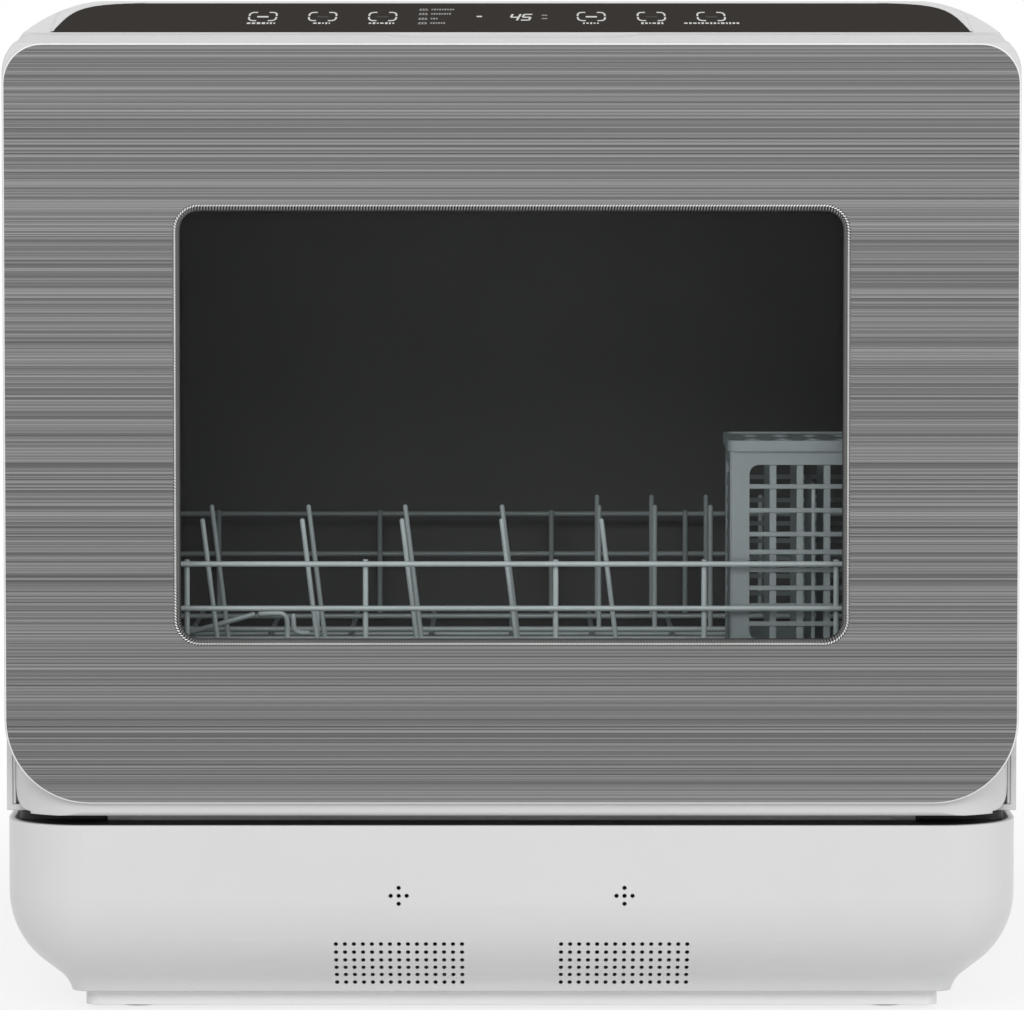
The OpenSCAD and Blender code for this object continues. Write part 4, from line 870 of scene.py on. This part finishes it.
@dataclass
class WindowTrim(Fitting):
    """Silver cord round the window, with a black band of printed dots inside it."""

    cord_w: float = 1.3
    band_w: float = 1.7
    bead_pitch: float = 1.25
    dot_r: float = 0.3
    dot_shrink: float = 0.22
    dot_t: float = 0.05
    clear_r: float = 8.0
    strand_r: float = 0.31
    strand_half: float = 0.68
    bed_sunk: float = 0.5
    band_sunk: float = 0.4
    dot_rows: tuple[Point, ...] = ((0.4, 0.0), (0.88, 0.5), (1.34, 0.0))

    def ring(self, inset: float, steps: int) -> list[Point]:
        """Gives the bezel's outline at one distance inside its outer edge.

        Args:
            inset: That distance.
            steps: Sides of each corner.

        Returns:
            Points, anticlockwise.
        """
        low, high = span("window_bezel")
        radius = self.clear_r + self.cord_w + self.band_w - inset
        return rounded(high.x - low.x - 2 * inset, high.z - low.z - 2 * inset, radius,
                       (low.x + high.x) / 2, (low.z + high.z) / 2, steps)

    def loop(self, inset: float) -> list[tuple[Point, Point]]:
        """Walks round the window at one distance inside the bezel's outer edge.

        Args:
            inset: That distance.

        Returns:
            Places one pitch apart, each with its direction.
        """
        ring = self.ring(inset, 24)
        places = []
        lengths = [math.dist(a, b) for a, b in zip(ring, ring[1:] + ring[:1])]
        total = sum(lengths)
        count = round(total / self.bead_pitch)
        walked, i = 0.0, 0
        for k in range(count):
            target = total * k / count
            while walked + lengths[i] < target:
                walked += lengths[i]
                i += 1
            a, b = ring[i], ring[(i + 1) % len(ring)]
            t = (target - walked) / lengths[i]
            run = ((b[0] - a[0]) / lengths[i], (b[1] - a[1]) / lengths[i])
            places.append(((a[0] + (b[0] - a[0]) * t, a[1] + (b[1] - a[1]) * t), run))
        return places

    def build(self) -> None:
        """Makes the cord, the band and its dots."""
        low, high = span("window_bezel")
        front, back = low.y, high.y
        place = Matrix.Translation((0, back, 0)) @ UPRIGHT
        outer, seam, inner = (self.ring(inset, 16)
                              for inset in (0.02, self.cord_w, self.cord_w + self.band_w))
        # The bed under the strands is black: painted shade between them.
        base = Mould("window_cord_bed")
        base.plate(outer, back - front - self.bed_sunk, place, [seam])
        base.done(self.wardrobe, "cord_bed_painted_shade", "door", "window_bezel", slot="bezel_silver")
        cord = Mould("window_cord")
        for (x, z), (dx, dz) in self.loop(self.cord_w / 2):
            half = (Vector((dx, 0, dz)) + Vector((-dz, 0, dx))).normalized() * self.strand_half
            middle = Vector((x, front + self.bed_sunk, z))
            cord.wire([middle - half, middle + half], self.strand_r, 8)
        cord.done(self.wardrobe, "bezel_silver", "door", sharp=60)
        band = Mould("window_band")
        band.plate(seam, back - front - self.band_sunk, place, [inner])
        band.done(self.wardrobe, "dot_black", "door", slot="dark_trim")
        dots = Mould("window_dots")
        sheet = Matrix.Translation((0, front + self.band_sunk, 0)) @ UPRIGHT
        for row, (inset, shift) in enumerate(self.dot_rows):
            for (x, z), (dx, dz) in self.loop(self.cord_w + inset):
                x, z = x + dx * shift * self.bead_pitch, z + dz * shift * self.bead_pitch
                dots.plate(disc(self.dot_r * (1 - self.dot_shrink * row), x, z, 8), self.dot_t, sheet)
        dots.done(self.wardrobe, "dot_silver", "door", slot="bezel_silver")


@dataclass
class FilmEdge(Fitting):
    """Bead of the door frame's thin chamfer that runs round the film, whiter than the frame: a painted
    highlight.
    """

    bead_r: float = 0.42
    outside: float = 0.3

    def build(self) -> None:
        """Winds the bead round the film's own outline."""
        low, high = span("door_film")
        middle = (low + high) / 2
        front = [(vert.co.x / MM, vert.co.z / MM) for vert in frame["nodes"]["door_film"].data.vertices
                 if vert.co.y / MM < low.y + 0.2]
        outline = [Vector((front[i][0], high.y - self.bead_r, front[i][1])) for i in convex_hull_2d(front)]
        path = []
        for point in outline:
            away = Vector((point.x - middle.x, 0, point.z - middle.z)).normalized()
            path.append(point + away * self.outside)
        bead = Mould("film_highlight_bead")
        bead.wire(path, self.bead_r, 8, closed=True)
        bead.done(self.wardrobe, "edge_highlight_white", "door")


@dataclass
class DoorInside(Fitting):
    """What the open door's back shows: the liner's beads, ribs and screws, and the grip of the lid."""

    bead_w: float = 4.0
    bead_h: float = 1.1
    bead_x: float = 178.0
    bead_low: float = 150.0
    bead_high: float = 378.0
    bead_r: float = 22.0
    clamp_w: float = 7.0
    clamp_r: float = 16.0
    screw_x: float = 200.3
    screw_top: float = 403.2
    screw_zs: tuple[float, ...] = (128.0, 190.0, 255.0, 320.0, 382.0)
    screw_xs: tuple[float, ...] = (-160.0, -80.0, 80.0, 160.0)
    screw_r: float = 2.5
    rib_zs: tuple[float, ...] = (123.0, 130.5, 138.0)
    rib_x: float = 166.0
    rib_r: float = 0.9
    rib_gap: float = 8.0
    grip_x: float = 27.0
    grip_pitch: float = 2.8
    grip_w: float = 1.3
    grip_h: float = 0.5

    def build(self) -> None:
        """Makes the pieces on the liner's face."""
        face = span("inner_liner")[1].y
        bead = Mould("liner_bead")
        bead.ridge((-self.bead_x, self.bead_x), (self.bead_low, self.bead_high), self.bead_r, self.bead_w,
                   self.bead_h, face, open_below=True)
        low, high = span("inner_glass")
        reach = self.clamp_w - 1.0
        bead.ridge((low.x - reach, high.x + reach), (low.z - reach, high.z + reach), self.clamp_r,
                   self.clamp_w, self.bead_h, face)
        low, high = span("dispenser_body")
        for z in self.rib_zs:
            for x0, x1 in ((-self.rib_x, low.x - self.rib_gap), (high.x + self.rib_gap, self.rib_x)):
                run = ((x0, face), (x0 + 4, face + 0.1), (x1 - 4, face + 0.1), (x1, face))
                bead.wire([Vector((x, y, z)) for x, y in run], self.rib_r)
        bead.done(self.wardrobe, "liner_grey", "door")
        self.screws(face)
        low, high = span("dispenser_lid")
        grip = Mould("dispenser_lid_grip")
        for i in range(4):
            x = low.x + self.grip_x + self.grip_pitch * i
            grip.block((x, high.y - 0.1, low.z + 6), (x + self.grip_w, high.y + self.grip_h, high.z - 6), 0.2)
        grip.done(self.wardrobe, "pale_plastic", "dispenser_lid")

    def screws(self, face: float) -> None:
        """Puts small screws round the liner.

        Args:
            face: How far back the liner's face lies.
        """
        places = [(side * self.screw_x, z) for side in (-1, 1) for z in self.screw_zs]
        places += [(x, self.screw_top) for x in self.screw_xs]
        screws = Mould("liner_screws")
        radius = self.screw_r
        dome = [(0.01, -0.2), (radius, -0.2), (radius, 0.35), (radius * 0.85, 0.8), (radius * 0.55, 1.1),
                (radius * 0.38, 1.15), (0.5, 0.7), (0.01, 0.5)]
        for x, z in places:
            screws.screw(facing(BACK, Vector((x, face, z))), dome, 24, (2.6, 0.7, 0.1, 1.06))
        screws.done(self.wardrobe, "screw_steel", "door", sharp=40)


# ---------- Console ----------

@dataclass
class ControlPanel(Fitting):
    """Printed keys, lamps and digits on the control glass, laid on its slope."""

    front_y: float = -185.5
    front_z: float = 419.9
    tilt: float = math.radians(9.6)
    print_t: float = 0.05
    stroke_x: float = 0.8
    stroke_s: float = 2.5
    bend_x: float = 2.4
    bend_s: float = 8.0
    side_gap: float = 1.4
    end_gap: float = 2.5
    key_w: float = 12.5
    key_low: float = 28.2
    key_high: float = 52.8
    key_xs: tuple[float, ...] = (-107.3, -81.5, -55.6, 34.4, 60.3, 86.1)
    mark_s: float = 39.8
    lit_keys: tuple[int, ...] = (0, 3)
    label_ws: tuple[float, ...] = (12.4, 7.2, 11.3, 7.6, 9.5, 24.2)
    label_s: float = 22.6
    digit_w: float = 4.2
    digit_low: float = 29.6
    digit_high: float = 47.4
    unit_x: float = 14.2
    unit_ss: tuple[float, ...] = (43.8, 35.0)
    lamp_x: float = -38.2
    lamp_rows: tuple[Point, ...] = ((59.4, 10.2), (47.6, 8.9), (34.7, 3.3), (22.9, 6.6))

    def slope(self, lift: float = 0.31) -> Matrix:
        """Gives the placing of a drawing on the glass: X across and Y up the slope.

        Args:
            lift: How far over the glass's root it lies.

        Returns:
            The placing.
        """
        normal = Vector((0, -math.sin(self.tilt), math.cos(self.tilt)))
        at = Vector((0, self.front_y, self.front_z)) + normal * lift
        return Matrix.Translation(at) @ Matrix.Rotation(self.tilt, 4, "X")

    def bracket(self, mould: Mould, x: float) -> None:
        """Draws the four corner strokes of one key.

        Args:
            mould: The piece to draw into.
            x: The key's middle.
        """
        middle = (self.key_low + self.key_high) / 2
        half_w, half_s = self.key_w / 2, (self.key_high - self.key_low) / 2
        cx, cy = half_w - self.bend_x, half_s - self.bend_s
        edges = []
        for thin_x, thin_s in ((0.0, 0.0), (self.stroke_x, self.stroke_s)):
            across, up = self.bend_x - thin_x, self.bend_s - thin_s
            turns = [math.pi / 2 * i / 8 for i in range(9)]
            curve = [(cx + across * math.cos(turn), cy + up * math.sin(turn)) for turn in turns]
            edges.append([(half_w - thin_x, self.side_gap)] + curve + [(self.end_gap, half_s - thin_s)])
        for sx in (-1, 1):
            for sy in (-1, 1):
                shape = [(x + sx * px, middle + sy * py) for px, py in edges[0] + edges[1][::-1]]
                mould.plate(shape, self.print_t, self.slope())

    def bar(self, mould: Mould, x: float, s: float, width: float, height: float, slant: float = 0.0) -> None:
        """Draws one stroke.

        Args:
            mould: The piece to draw into.
            x: Its middle across.
            s: Its middle up the slope.
            width: Its width.
            height: Its height.
            slant: How far its top leans to the right.
        """
        shape = [(x - width / 2 - slant / 2, s - height / 2), (x + width / 2 - slant / 2, s - height / 2),
                 (x + width / 2 + slant / 2, s + height / 2), (x - width / 2 + slant / 2, s + height / 2)]
        mould.plate(shape, self.print_t, self.slope())

    def label(self, mould: Mould, x: float, width: float, seed: int) -> None:
        """Draws a row of short dashes in place of a key's word.

        Args:
            mould: The piece to draw into.
            x: Its middle.
            width: Its width.
            seed: Picks the dashes' lengths.
        """
        dice = random.Random(seed)
        at = x - width / 2
        while at < x + width / 2 - 0.5:
            length = min(dice.choice((0.8, 1.1, 1.5)), x + width / 2 - at)
            self.bar(mould, at + length / 2, self.label_s, length, dice.choice((3.0, 3.8, 4.6)))
            at += length + 0.62

    def digit(self, mould: Mould, x: float, segments: str) -> None:
        """Draws one seven-stroke digit.

        Args:
            mould: The piece to draw into.
            x: Its left edge.
            segments: Its lit strokes, by their usual letters.
        """
        width, low, high = self.digit_w, self.digit_low, self.digit_high
        middle = (low + high) / 2
        for name in segments:
            if name in "agd":
                s = {"a": high - 1.2, "g": middle, "d": low + 1.2}[name]
                across, stroke = width / 2, (width - 0.7, 2.6, 0.0)
            else:
                s = middle + (4.3 if name in "bf" else -4.3)
                across, stroke = (0.4 if name in "ef" else width - 0.4), (1.0, 7.8, 0.78)
            self.bar(mould, x + across + (s - low) * 0.1, s, *stroke)

    def corners(self) -> None:
        """Lays the shell's white edge over the glass's two rear corners, where the black ends in a curve."""
        black = [(195.0, 1.0), (194.4, 10.0), (193.4, 22.0), (191.9, 36.7), (190.1, 48.0), (188.2, 56.0),
                 (185.6, 62.5), (182.6, 67.5), (178.5, 71.5), (173.5, 74.2), (168.0, 75.8), (163.0, 76.7)]
        white = [(160.0, 77.6), (168.0, 77.3), (176.5, 74.9), (184.6, 69.6), (189.0, 65.0), (192.6, 59.5),
                 (195.0, 54.0), (196.2, 46.0), (196.2, 1.0)]
        trims = Mould("glass_corner_trims")
        for side in (-1, 1):
            trims.plate([(side * x, s) for x, s in black + white], 0.12, self.slope(0.3))
        trims.done(self.wardrobe, "white_shell", "cabinet")

    def build(self) -> None:
        """Prints everything on the glass."""
        self.corners()
        bright, dim, faint = Mould("panel_print"), Mould("panel_print_dim"), Mould("panel_print_faint")
        for i, x in enumerate(self.key_xs):
            self.bracket(bright, x)
            self.bar(bright if i in self.lit_keys else faint, x, self.mark_s, 4.9, 3.6)
            self.label(bright, x, self.label_ws[i], 5 + i)
        for s, width in self.lamp_rows:
            for k in range(3):
                self.bar(dim, self.lamp_x + 1.3 * (k - 1), s + 0.7, 0.75, 3.2, 0.5 * (1 - k))
            self.bar(dim, self.lamp_x, s - 2.2, 3.9, 1.1)
            self.label_row(dim, self.lamp_x + 3.2, s, width)
        self.bar(bright, -13.9, 40.6, 2.3, 3.2)
        self.digit(bright, -1.6, "fgbc")
        self.digit(bright, 3.5, "afgcd")
        for s in self.unit_ss:
            self.bar(dim, self.unit_x, s, 2.4, 2.2)
        for print_layer, finish in ((bright, "glyph_white"), (dim, "glyph_dim"), (faint, "glyph_faint")):
            print_layer.done(self.wardrobe, finish, "cabinet", slot="control_glass")

    def label_row(self, mould: Mould, x: float, s: float, width: float) -> None:
        """Draws one small row of dashes beside a lamp.

        Args:
            mould: The piece to draw into.
            x: Its left edge.
            s: Its place up the slope.
            width: Its width.
        """
        count = max(2, round(width / 1.1))
        for k in range(count):
            self.bar(mould, x + width * (k + 0.5) / count, s, width / count * 0.68, 3.2 + 0.9 * (k % 2))


# ---------- Rack ----------

@dataclass
class RackWires(Fitting):
    """Cranked cup-rest wires at the rack's front left corner."""

    wire_r: float = 1.2

    def build(self) -> None:
        """Bends the wires and lets them ride on the rack."""
        piece = Mould("rack_bent_wires")
        runs = [([(-109.9, -150, 168.5), (-97.2, -150, 169.2), (-97.0, -150, 149.0)], 4.5),
                ([(-96.0, -112, 165.5), (-95.6, -112, 157.0), (-88.5, -112, 156.8)], 4.0),
                ([(-85.0, -120, 149.0), (-85.2, -120, 168.2)], 1.0),
                ([(-142.0, -100, 156.0), (-113.0, -100, 164.2)], 1.0)]
        for corners, radius in runs:
            piece.wire(bent(corners, radius), self.wire_r)
        piece.done(self.wardrobe, "rack_coating", "rack")


# ---------- Cutlery basket ----------

@dataclass
class Basket(Fitting):
    """Cutlery basket with barred walls, a rim band, ribs that stand proud, and a slotted lid."""

    wall: float = 1.8
    post: float = 8.3
    band: float = 5.6
    foot: float = 8.9
    bar_pitch: float = 11.65
    bar_w: float = 2.9
    rib_h: float = 1.9
    corner: float = 4.0
    edge_r: float = 1.2
    lap: float = 0.3
    bar_t: float = 1.2
    bar_back: float = 0.7
    rib_t: float = 1.3
    rib_back: float = 0.05
    ribs: tuple[float, ...] = (15.7, 23.5, 31.2, 39.0, 46.8, 54.5, 64.8, 75.1)
    slat_pitch: float = 7.3

    def wall_frame(self, mould: Mould, width: float, height: float, low: float, place: Matrix) -> None:
        """Makes the frame of one wall round its tall opening.

        Args:
            mould: The piece to add to.
            width: The wall's width.
            height: Its height.
            low: The opening's lower side.
            place: Where its lower left outer corner goes, with +Z inwards.
        """
        high = height - self.band
        opening = rounded(width - 2 * self.post, high - low, self.corner, width / 2, (low + high) / 2)
        mould.plate(oblong(0.6, width - 0.6, 0, height), self.wall, place, [opening])

    def wall_plate(self, mould: Mould, width: float, height: float, place: Matrix) -> None:
        """Makes one wall: a frame, bars behind its opening and ribs across it.

        Args:
            mould: The piece to add to.
            width: The wall's width.
            height: Its height.
            place: Where its lower left outer corner goes, with +Z inwards.
        """
        low, high = self.foot, height - self.band
        self.wall_frame(mould, width, height, low, place)
        openings = round((width - 2 * self.post) / self.bar_pitch)
        first = (width - openings * self.bar_pitch) / 2
        for i in range(1, openings):
            x = first + i * self.bar_pitch - self.bar_w / 2
            mould.plate(oblong(x, x + self.bar_w, low - self.lap, high + self.lap), self.bar_t,
                        place @ Matrix.Translation((0, 0, self.bar_back)))
        left, right = self.post - self.lap, width - self.post + self.lap
        for z in self.ribs:
            mould.plate(oblong(left, right, z - self.rib_h / 2, z + self.rib_h / 2), self.rib_t,
                        place @ Matrix.Translation((0, 0, self.rib_back)))

    def slatted_wall(self, mould: Mould, width: float, height: float, place: Matrix) -> None:
        """Makes one wall of slanting slats between two posts.

        Args:
            mould: The piece to add to.
            width: The wall's width.
            height: Its height.
            place: Where its lower left outer corner goes, with +Z inwards.
        """
        low, high = self.foot - 4, height - self.band
        self.wall_frame(mould, width, height, low, place)
        for k in range(int((high - low) / self.slat_pitch)):
            z = low + self.slat_pitch * (k + 0.6)
            slat = [(0.15, z - 2.6), (1.05, z - 2.9), (1.75, z + 2.6), (0.85, z + 2.9)]
            mould.rings([[place @ Vector((y, pz, px)) for px, pz in slat]
                         for y in (self.post - self.lap, width - self.post + self.lap)])

    def build(self) -> None:
        """Makes the basket and its lid."""
        low, high = span("cutlery_basket")
        size = high - low
        basket = Mould("basket_walls")
        self.wall_plate(basket, size.x, size.z, Matrix.Translation(low) @ INWARD)
        self.wall_plate(basket, size.x, size.z, Matrix.Translation((low.x, high.y, low.z)) @ UPRIGHT)
        self.slatted_wall(basket, size.y, size.z, Matrix.Translation(low) @ RIGHTWARD)
        self.wall_plate(basket, size.y, size.z, Matrix.Translation((high.x, low.y, low.z)) @ LEFTWARD)
        for x in (low.x + self.edge_r, high.x - self.edge_r):
            for y in (low.y + self.edge_r, high.y - self.edge_r):
                basket.wire([Vector((x, y, low.z + 0.6)), Vector((x, y, high.z - 0.6))], self.edge_r)
        middle = (low.x + high.x) / 2
        basket.block((middle - 0.8, low.y + 1, low.z + 1), (middle + 0.8, high.y - 1, high.z - 14), 0.2)
        holes = [rounded(7.0, 6.0, 1.0, low.x + 8.6 + i * 13.3, low.y + 8.5 + j * 11.5, 3)
                 for i in range(5) for j in range(5)]
        basket.plate(rounded(size.x - 2, size.y - 2, 3.0, middle, (low.y + high.y) / 2), 1.6,
                     Matrix.Translation((0, 0, low.z)), holes)
        basket.done(self.wardrobe, "basket_plastic", "cutlery", "cutlery_basket")
        self.lid()

    def lid(self) -> None:
        """Makes the lid: a slotted sheet inside a raised rim, with a skirt line."""
        low, high = span("cutlery_lid")
        size = high - low
        x, y = (low.x + high.x) / 2, (low.y + high.y) / 2
        slots = [lens(8.0, 17.0, low.x + 11.2 + i * (size.x - 22.4) / 4, y + side * (size.y - 36.4) / 2)
                 for i in range(5) for side in (-1, 1)]
        lid = Mould("basket_lid")
        sheet = rounded(size.x - 1.4, size.y - 1.4, 4.4, x, y)
        lid.plate(sheet, 2.0, Matrix.Translation((0, 0, low.z + 2.2)), slots)
        for outer, outer_r, inner, inner_r, thick, foot in ((0.0, 5.0, 3.2, 3.4, size.z - 0.5, 0.4),
                                                            (0.7, 4.7, 2.4, 3.8, size.z, 0.0)):
            lid.plate(rounded(size.x - outer, size.y - outer, outer_r, x, y), thick,
                      Matrix.Translation((0, 0, low.z + foot)),
                      [rounded(size.x - inner, size.y - inner, inner_r, x, y)])
        lid.done(self.wardrobe, "basket_plastic", "cutlery", "cutlery_lid")


# ---------- Cabinet ----------

@dataclass
class FrontReturns(Fitting):
    """White returns of the shell's front edge, which close the slits beside the door."""

    wall_x: float = 213.3
    tub_x: float = 205.3
    deep_x: float = 199.0
    door_x: float = 212.15
    low_z: float = 90.3
    swing_z: float = 116.0
    high_z: float = 396.0
    front_y: float = -185.4
    back_y: float = -179.6
    thick: float = 1.4

    def build(self) -> None:
        """Makes both returns: a flush face beside the tub, and a deeper one behind the door's edge."""
        returns = Mould("front_returns")
        for side in (-1, 1):
            flush = [(side * x, z) for x, z in ((self.door_x, self.low_z), (self.wall_x, self.low_z),
                                                (self.wall_x, self.high_z), (self.tub_x, self.high_z),
                                                (self.tub_x, self.swing_z), (self.door_x, self.swing_z))]
            returns.plate(flush, self.thick, Matrix.Translation((0, self.front_y + self.thick, 0)) @ UPRIGHT)
            x0, x1 = sorted((side * self.deep_x, side * self.wall_x))
            returns.block((x0, self.back_y - self.thick, self.low_z), (x1, self.back_y, self.high_z), 0.2)
        returns.done(self.wardrobe, "white_shell", "cabinet")


@dataclass
class GapEnds(Fitting):
    """Paler ends of the strip in the gap over the base, in the same near-white painted light as the strip."""

    width: float = 10.4
    proud: float = 0.15

    def build(self) -> None:
        """Makes both ends over the strip's face."""
        low, high = span("gap_strip")
        ends = Mould("gap_strip_ends")
        for x0, x1 in ((low.x, low.x + self.width), (high.x - self.width, high.x)):
            ends.block((x0 + 0.1, low.y - self.proud, low.z + 0.1), (x1, low.y + 0.1, high.z - 0.1), 0.04)
        ends.done(self.wardrobe, "gap_end_painted_light", "cabinet")


# ---------- Rear ----------

@dataclass
class RearFixings(Fitting):
    """Cross-headed screws of the rear panel."""

    head_r: float = 2.8
    cross_w: float = 0.9
    seat: float = 1.6

    def build(self) -> None:
        """Makes every screw at the place of its node's own copy."""
        screws = Mould("panel_screws")
        dome = [(0.01, 0.0), (self.head_r, 0.0), (self.head_r, 0.45), (self.head_r * 0.88, 0.95),
                (self.head_r * 0.62, 1.3), (self.head_r * 0.4, 1.42), (0.55, 1.0), (0.01, 0.8)]
        for place in self.places():
            screws.screw(facing(BACK, Vector(place)), dome, 32, (3.1, self.cross_w, 0.12, 1.3))
        screws.done(self.wardrobe, "screw_steel", "cabinet", "cabinet_screws", slot="bright_steel", sharp=40)

    def places(self) -> list[Place]:
        """Finds the middle of each screw in its node's mesh.

        Returns:
            Each head's middle, at the face it sits on.
        """
        mesh = frame["nodes"]["cabinet_screws"].data
        back = max(vert.co.y for vert in mesh.vertices)
        groups: dict[tuple[int, int], list[Vector]] = {}
        for vert in mesh.vertices:
            if vert.co.y > back - 0.5 * MM:
                found = next((k for k in groups if abs(k[0] * MM - vert.co.x) < 0.006
                              and abs(k[1] * MM - vert.co.z) < 0.006), None)
                key = found or (round(vert.co.x / MM), round(vert.co.z / MM))
                groups.setdefault(key, []).append(vert.co)
        made = []
        for points in groups.values():
            xs, zs = [p.x for p in points], [p.z for p in points]
            made.append(((min(xs) + max(xs)) / 2 / MM, back / MM - self.seat, (min(zs) + max(zs)) / 2 / MM))
        return made


@dataclass
class RearPorts(Fitting):
    """Threaded inlet, barbed drain spigot and the rear panel's pressed beads."""

    thread_r: float = 13.2
    thread_pitch: float = 1.8
    ridge_r: float = 0.72
    turn_sides: int = 24
    reach: float = 15.0
    root: float = 4.0
    bore_r: float = 9.2
    flange_t: float = 2.0
    spigot_r: float = 8.0
    barbs: int = 3
    barb_pitch: float = 3.6
    bead_w: float = 6.0
    bead_h: float = 0.7

    def inlet(self) -> None:
        """Makes the inlet's pipe, flange and the thread wound round it."""
        low, high = span("inlet_connector")
        place = facing(BACK, Vector(((low.x + high.x) / 2, low.y, (low.z + high.z) / 2)))
        flange_r, end, start = (high.x - low.x) / 2, high.y - low.y, high.y - self.reach - low.y
        core_r, pipe_r, collar = self.thread_r - 0.75, self.thread_r - 1.4, start + self.flange_t
        profile = [(self.bore_r, self.root), (pipe_r, self.root), (pipe_r, start), (flange_r, start),
                   (flange_r, collar - 0.5), (flange_r - 0.5, collar), (core_r, collar), (core_r, end - 0.6),
                   (core_r - 0.6, end), (self.bore_r + 0.3, end), (self.bore_r, end - 0.3)]
        inlet = Mould("inlet_thread")
        inlet.lathe(profile, place, 48, bored=True)
        turns = (end - collar - 2.2) / self.thread_pitch
        helix = []
        for turn in (i / self.turn_sides for i in range(int(turns * self.turn_sides))):
            angle, along = math.tau * turn, collar + 1.1 + self.thread_pitch * turn
            helix.append(place @ Vector((core_r * math.cos(angle), core_r * math.sin(angle), along)))
        inlet.wire(helix, self.ridge_r, 8)
        inlet.done(self.wardrobe, "inlet_brass", "cabinet", "inlet_connector", sharp=50)

    def drain(self) -> None:
        """Makes the drain spigot with three barbs."""
        low, high = span("drain_connector")
        place = facing(BACK, Vector(((low.x + high.x) / 2, low.y, (low.z + high.z) / 2)))
        flange_r, end, start = (high.x - low.x) / 2, high.y - low.y, high.y - self.reach - low.y
        tip_r, bore_r, collar = self.spigot_r, self.spigot_r - 3.0, start + self.flange_t
        profile = [(bore_r, self.root), (bore_r + 1.4, self.root), (bore_r + 1.4, start), (flange_r, start),
                   (flange_r, collar - 0.6), (flange_r - 0.6, collar), (tip_r - 0.8, collar),
                   (tip_r - 0.8, end - 11.0)]
        for barb in range(self.barbs):
            foot = end - self.barb_pitch * (self.barbs - barb)
            profile += [(tip_r, foot), (tip_r - 0.9, foot + self.barb_pitch - 0.2)]
        profile += [(tip_r - 1.2, end), (bore_r + 0.3, end), (bore_r, end - 0.3)]
        spigot = Mould("drain_barbs")
        spigot.lathe(profile, place, 40, bored=True)
        spigot.done(self.wardrobe, "dark_trim", "cabinet", "drain_connector", sharp=40)

    def build(self) -> None:
        """Makes the ports and the beads."""
        self.inlet()
        self.drain()
        low, high = span("rear_panel")
        beads = Mould("rear_panel_beads")
        for inset, radius in ((24, 22.0), (44, 14.0)):
            beads.ridge((low.x + inset, high.x - inset), (low.z + inset + 42, high.z - inset), radius,
                        self.bead_w, self.bead_h, high.y)
        beads.done(self.wardrobe, "rear_grey", "cabinet")


def dress_frame(wardrobe: Wardrobe) -> None:
    """Dresses every node of the frame in the finish of its record slot.

    Args:
        wardrobe: The finishes.
    """
    for entry in frame["record"]["subparts"]:
        wardrobe.dress_nodes(entry["material_slot"], entry["node"])
        LOG.info("dressed %s", entry["node"])
    # The door frame wears a darker copy of the shell's white: painted shade.
    wardrobe.dress_nodes("door_white_painted_shade", "door_frame")
    # The plinth wears a brighter copy of the shell's white: painted light.
    wardrobe.dress_nodes("plinth_white_painted_light", "base_plate")


def main() -> None:
    """Builds the set, dresses the machine and adds its fine pieces."""
    logging.basicConfig(level=logging.INFO, format="%(message)s")
    Studio().build()
    wardrobe = Wardrobe(FINISHES)
    dress_frame(wardrobe)
    for part in (ControlPanel, WindowTrim, FilmEdge, DoorInside, RackWires, Basket, FrontReturns, GapEnds,
                 RearFixings, RearPorts):
        part(wardrobe).build()


if __name__ == "__main__":
    main()
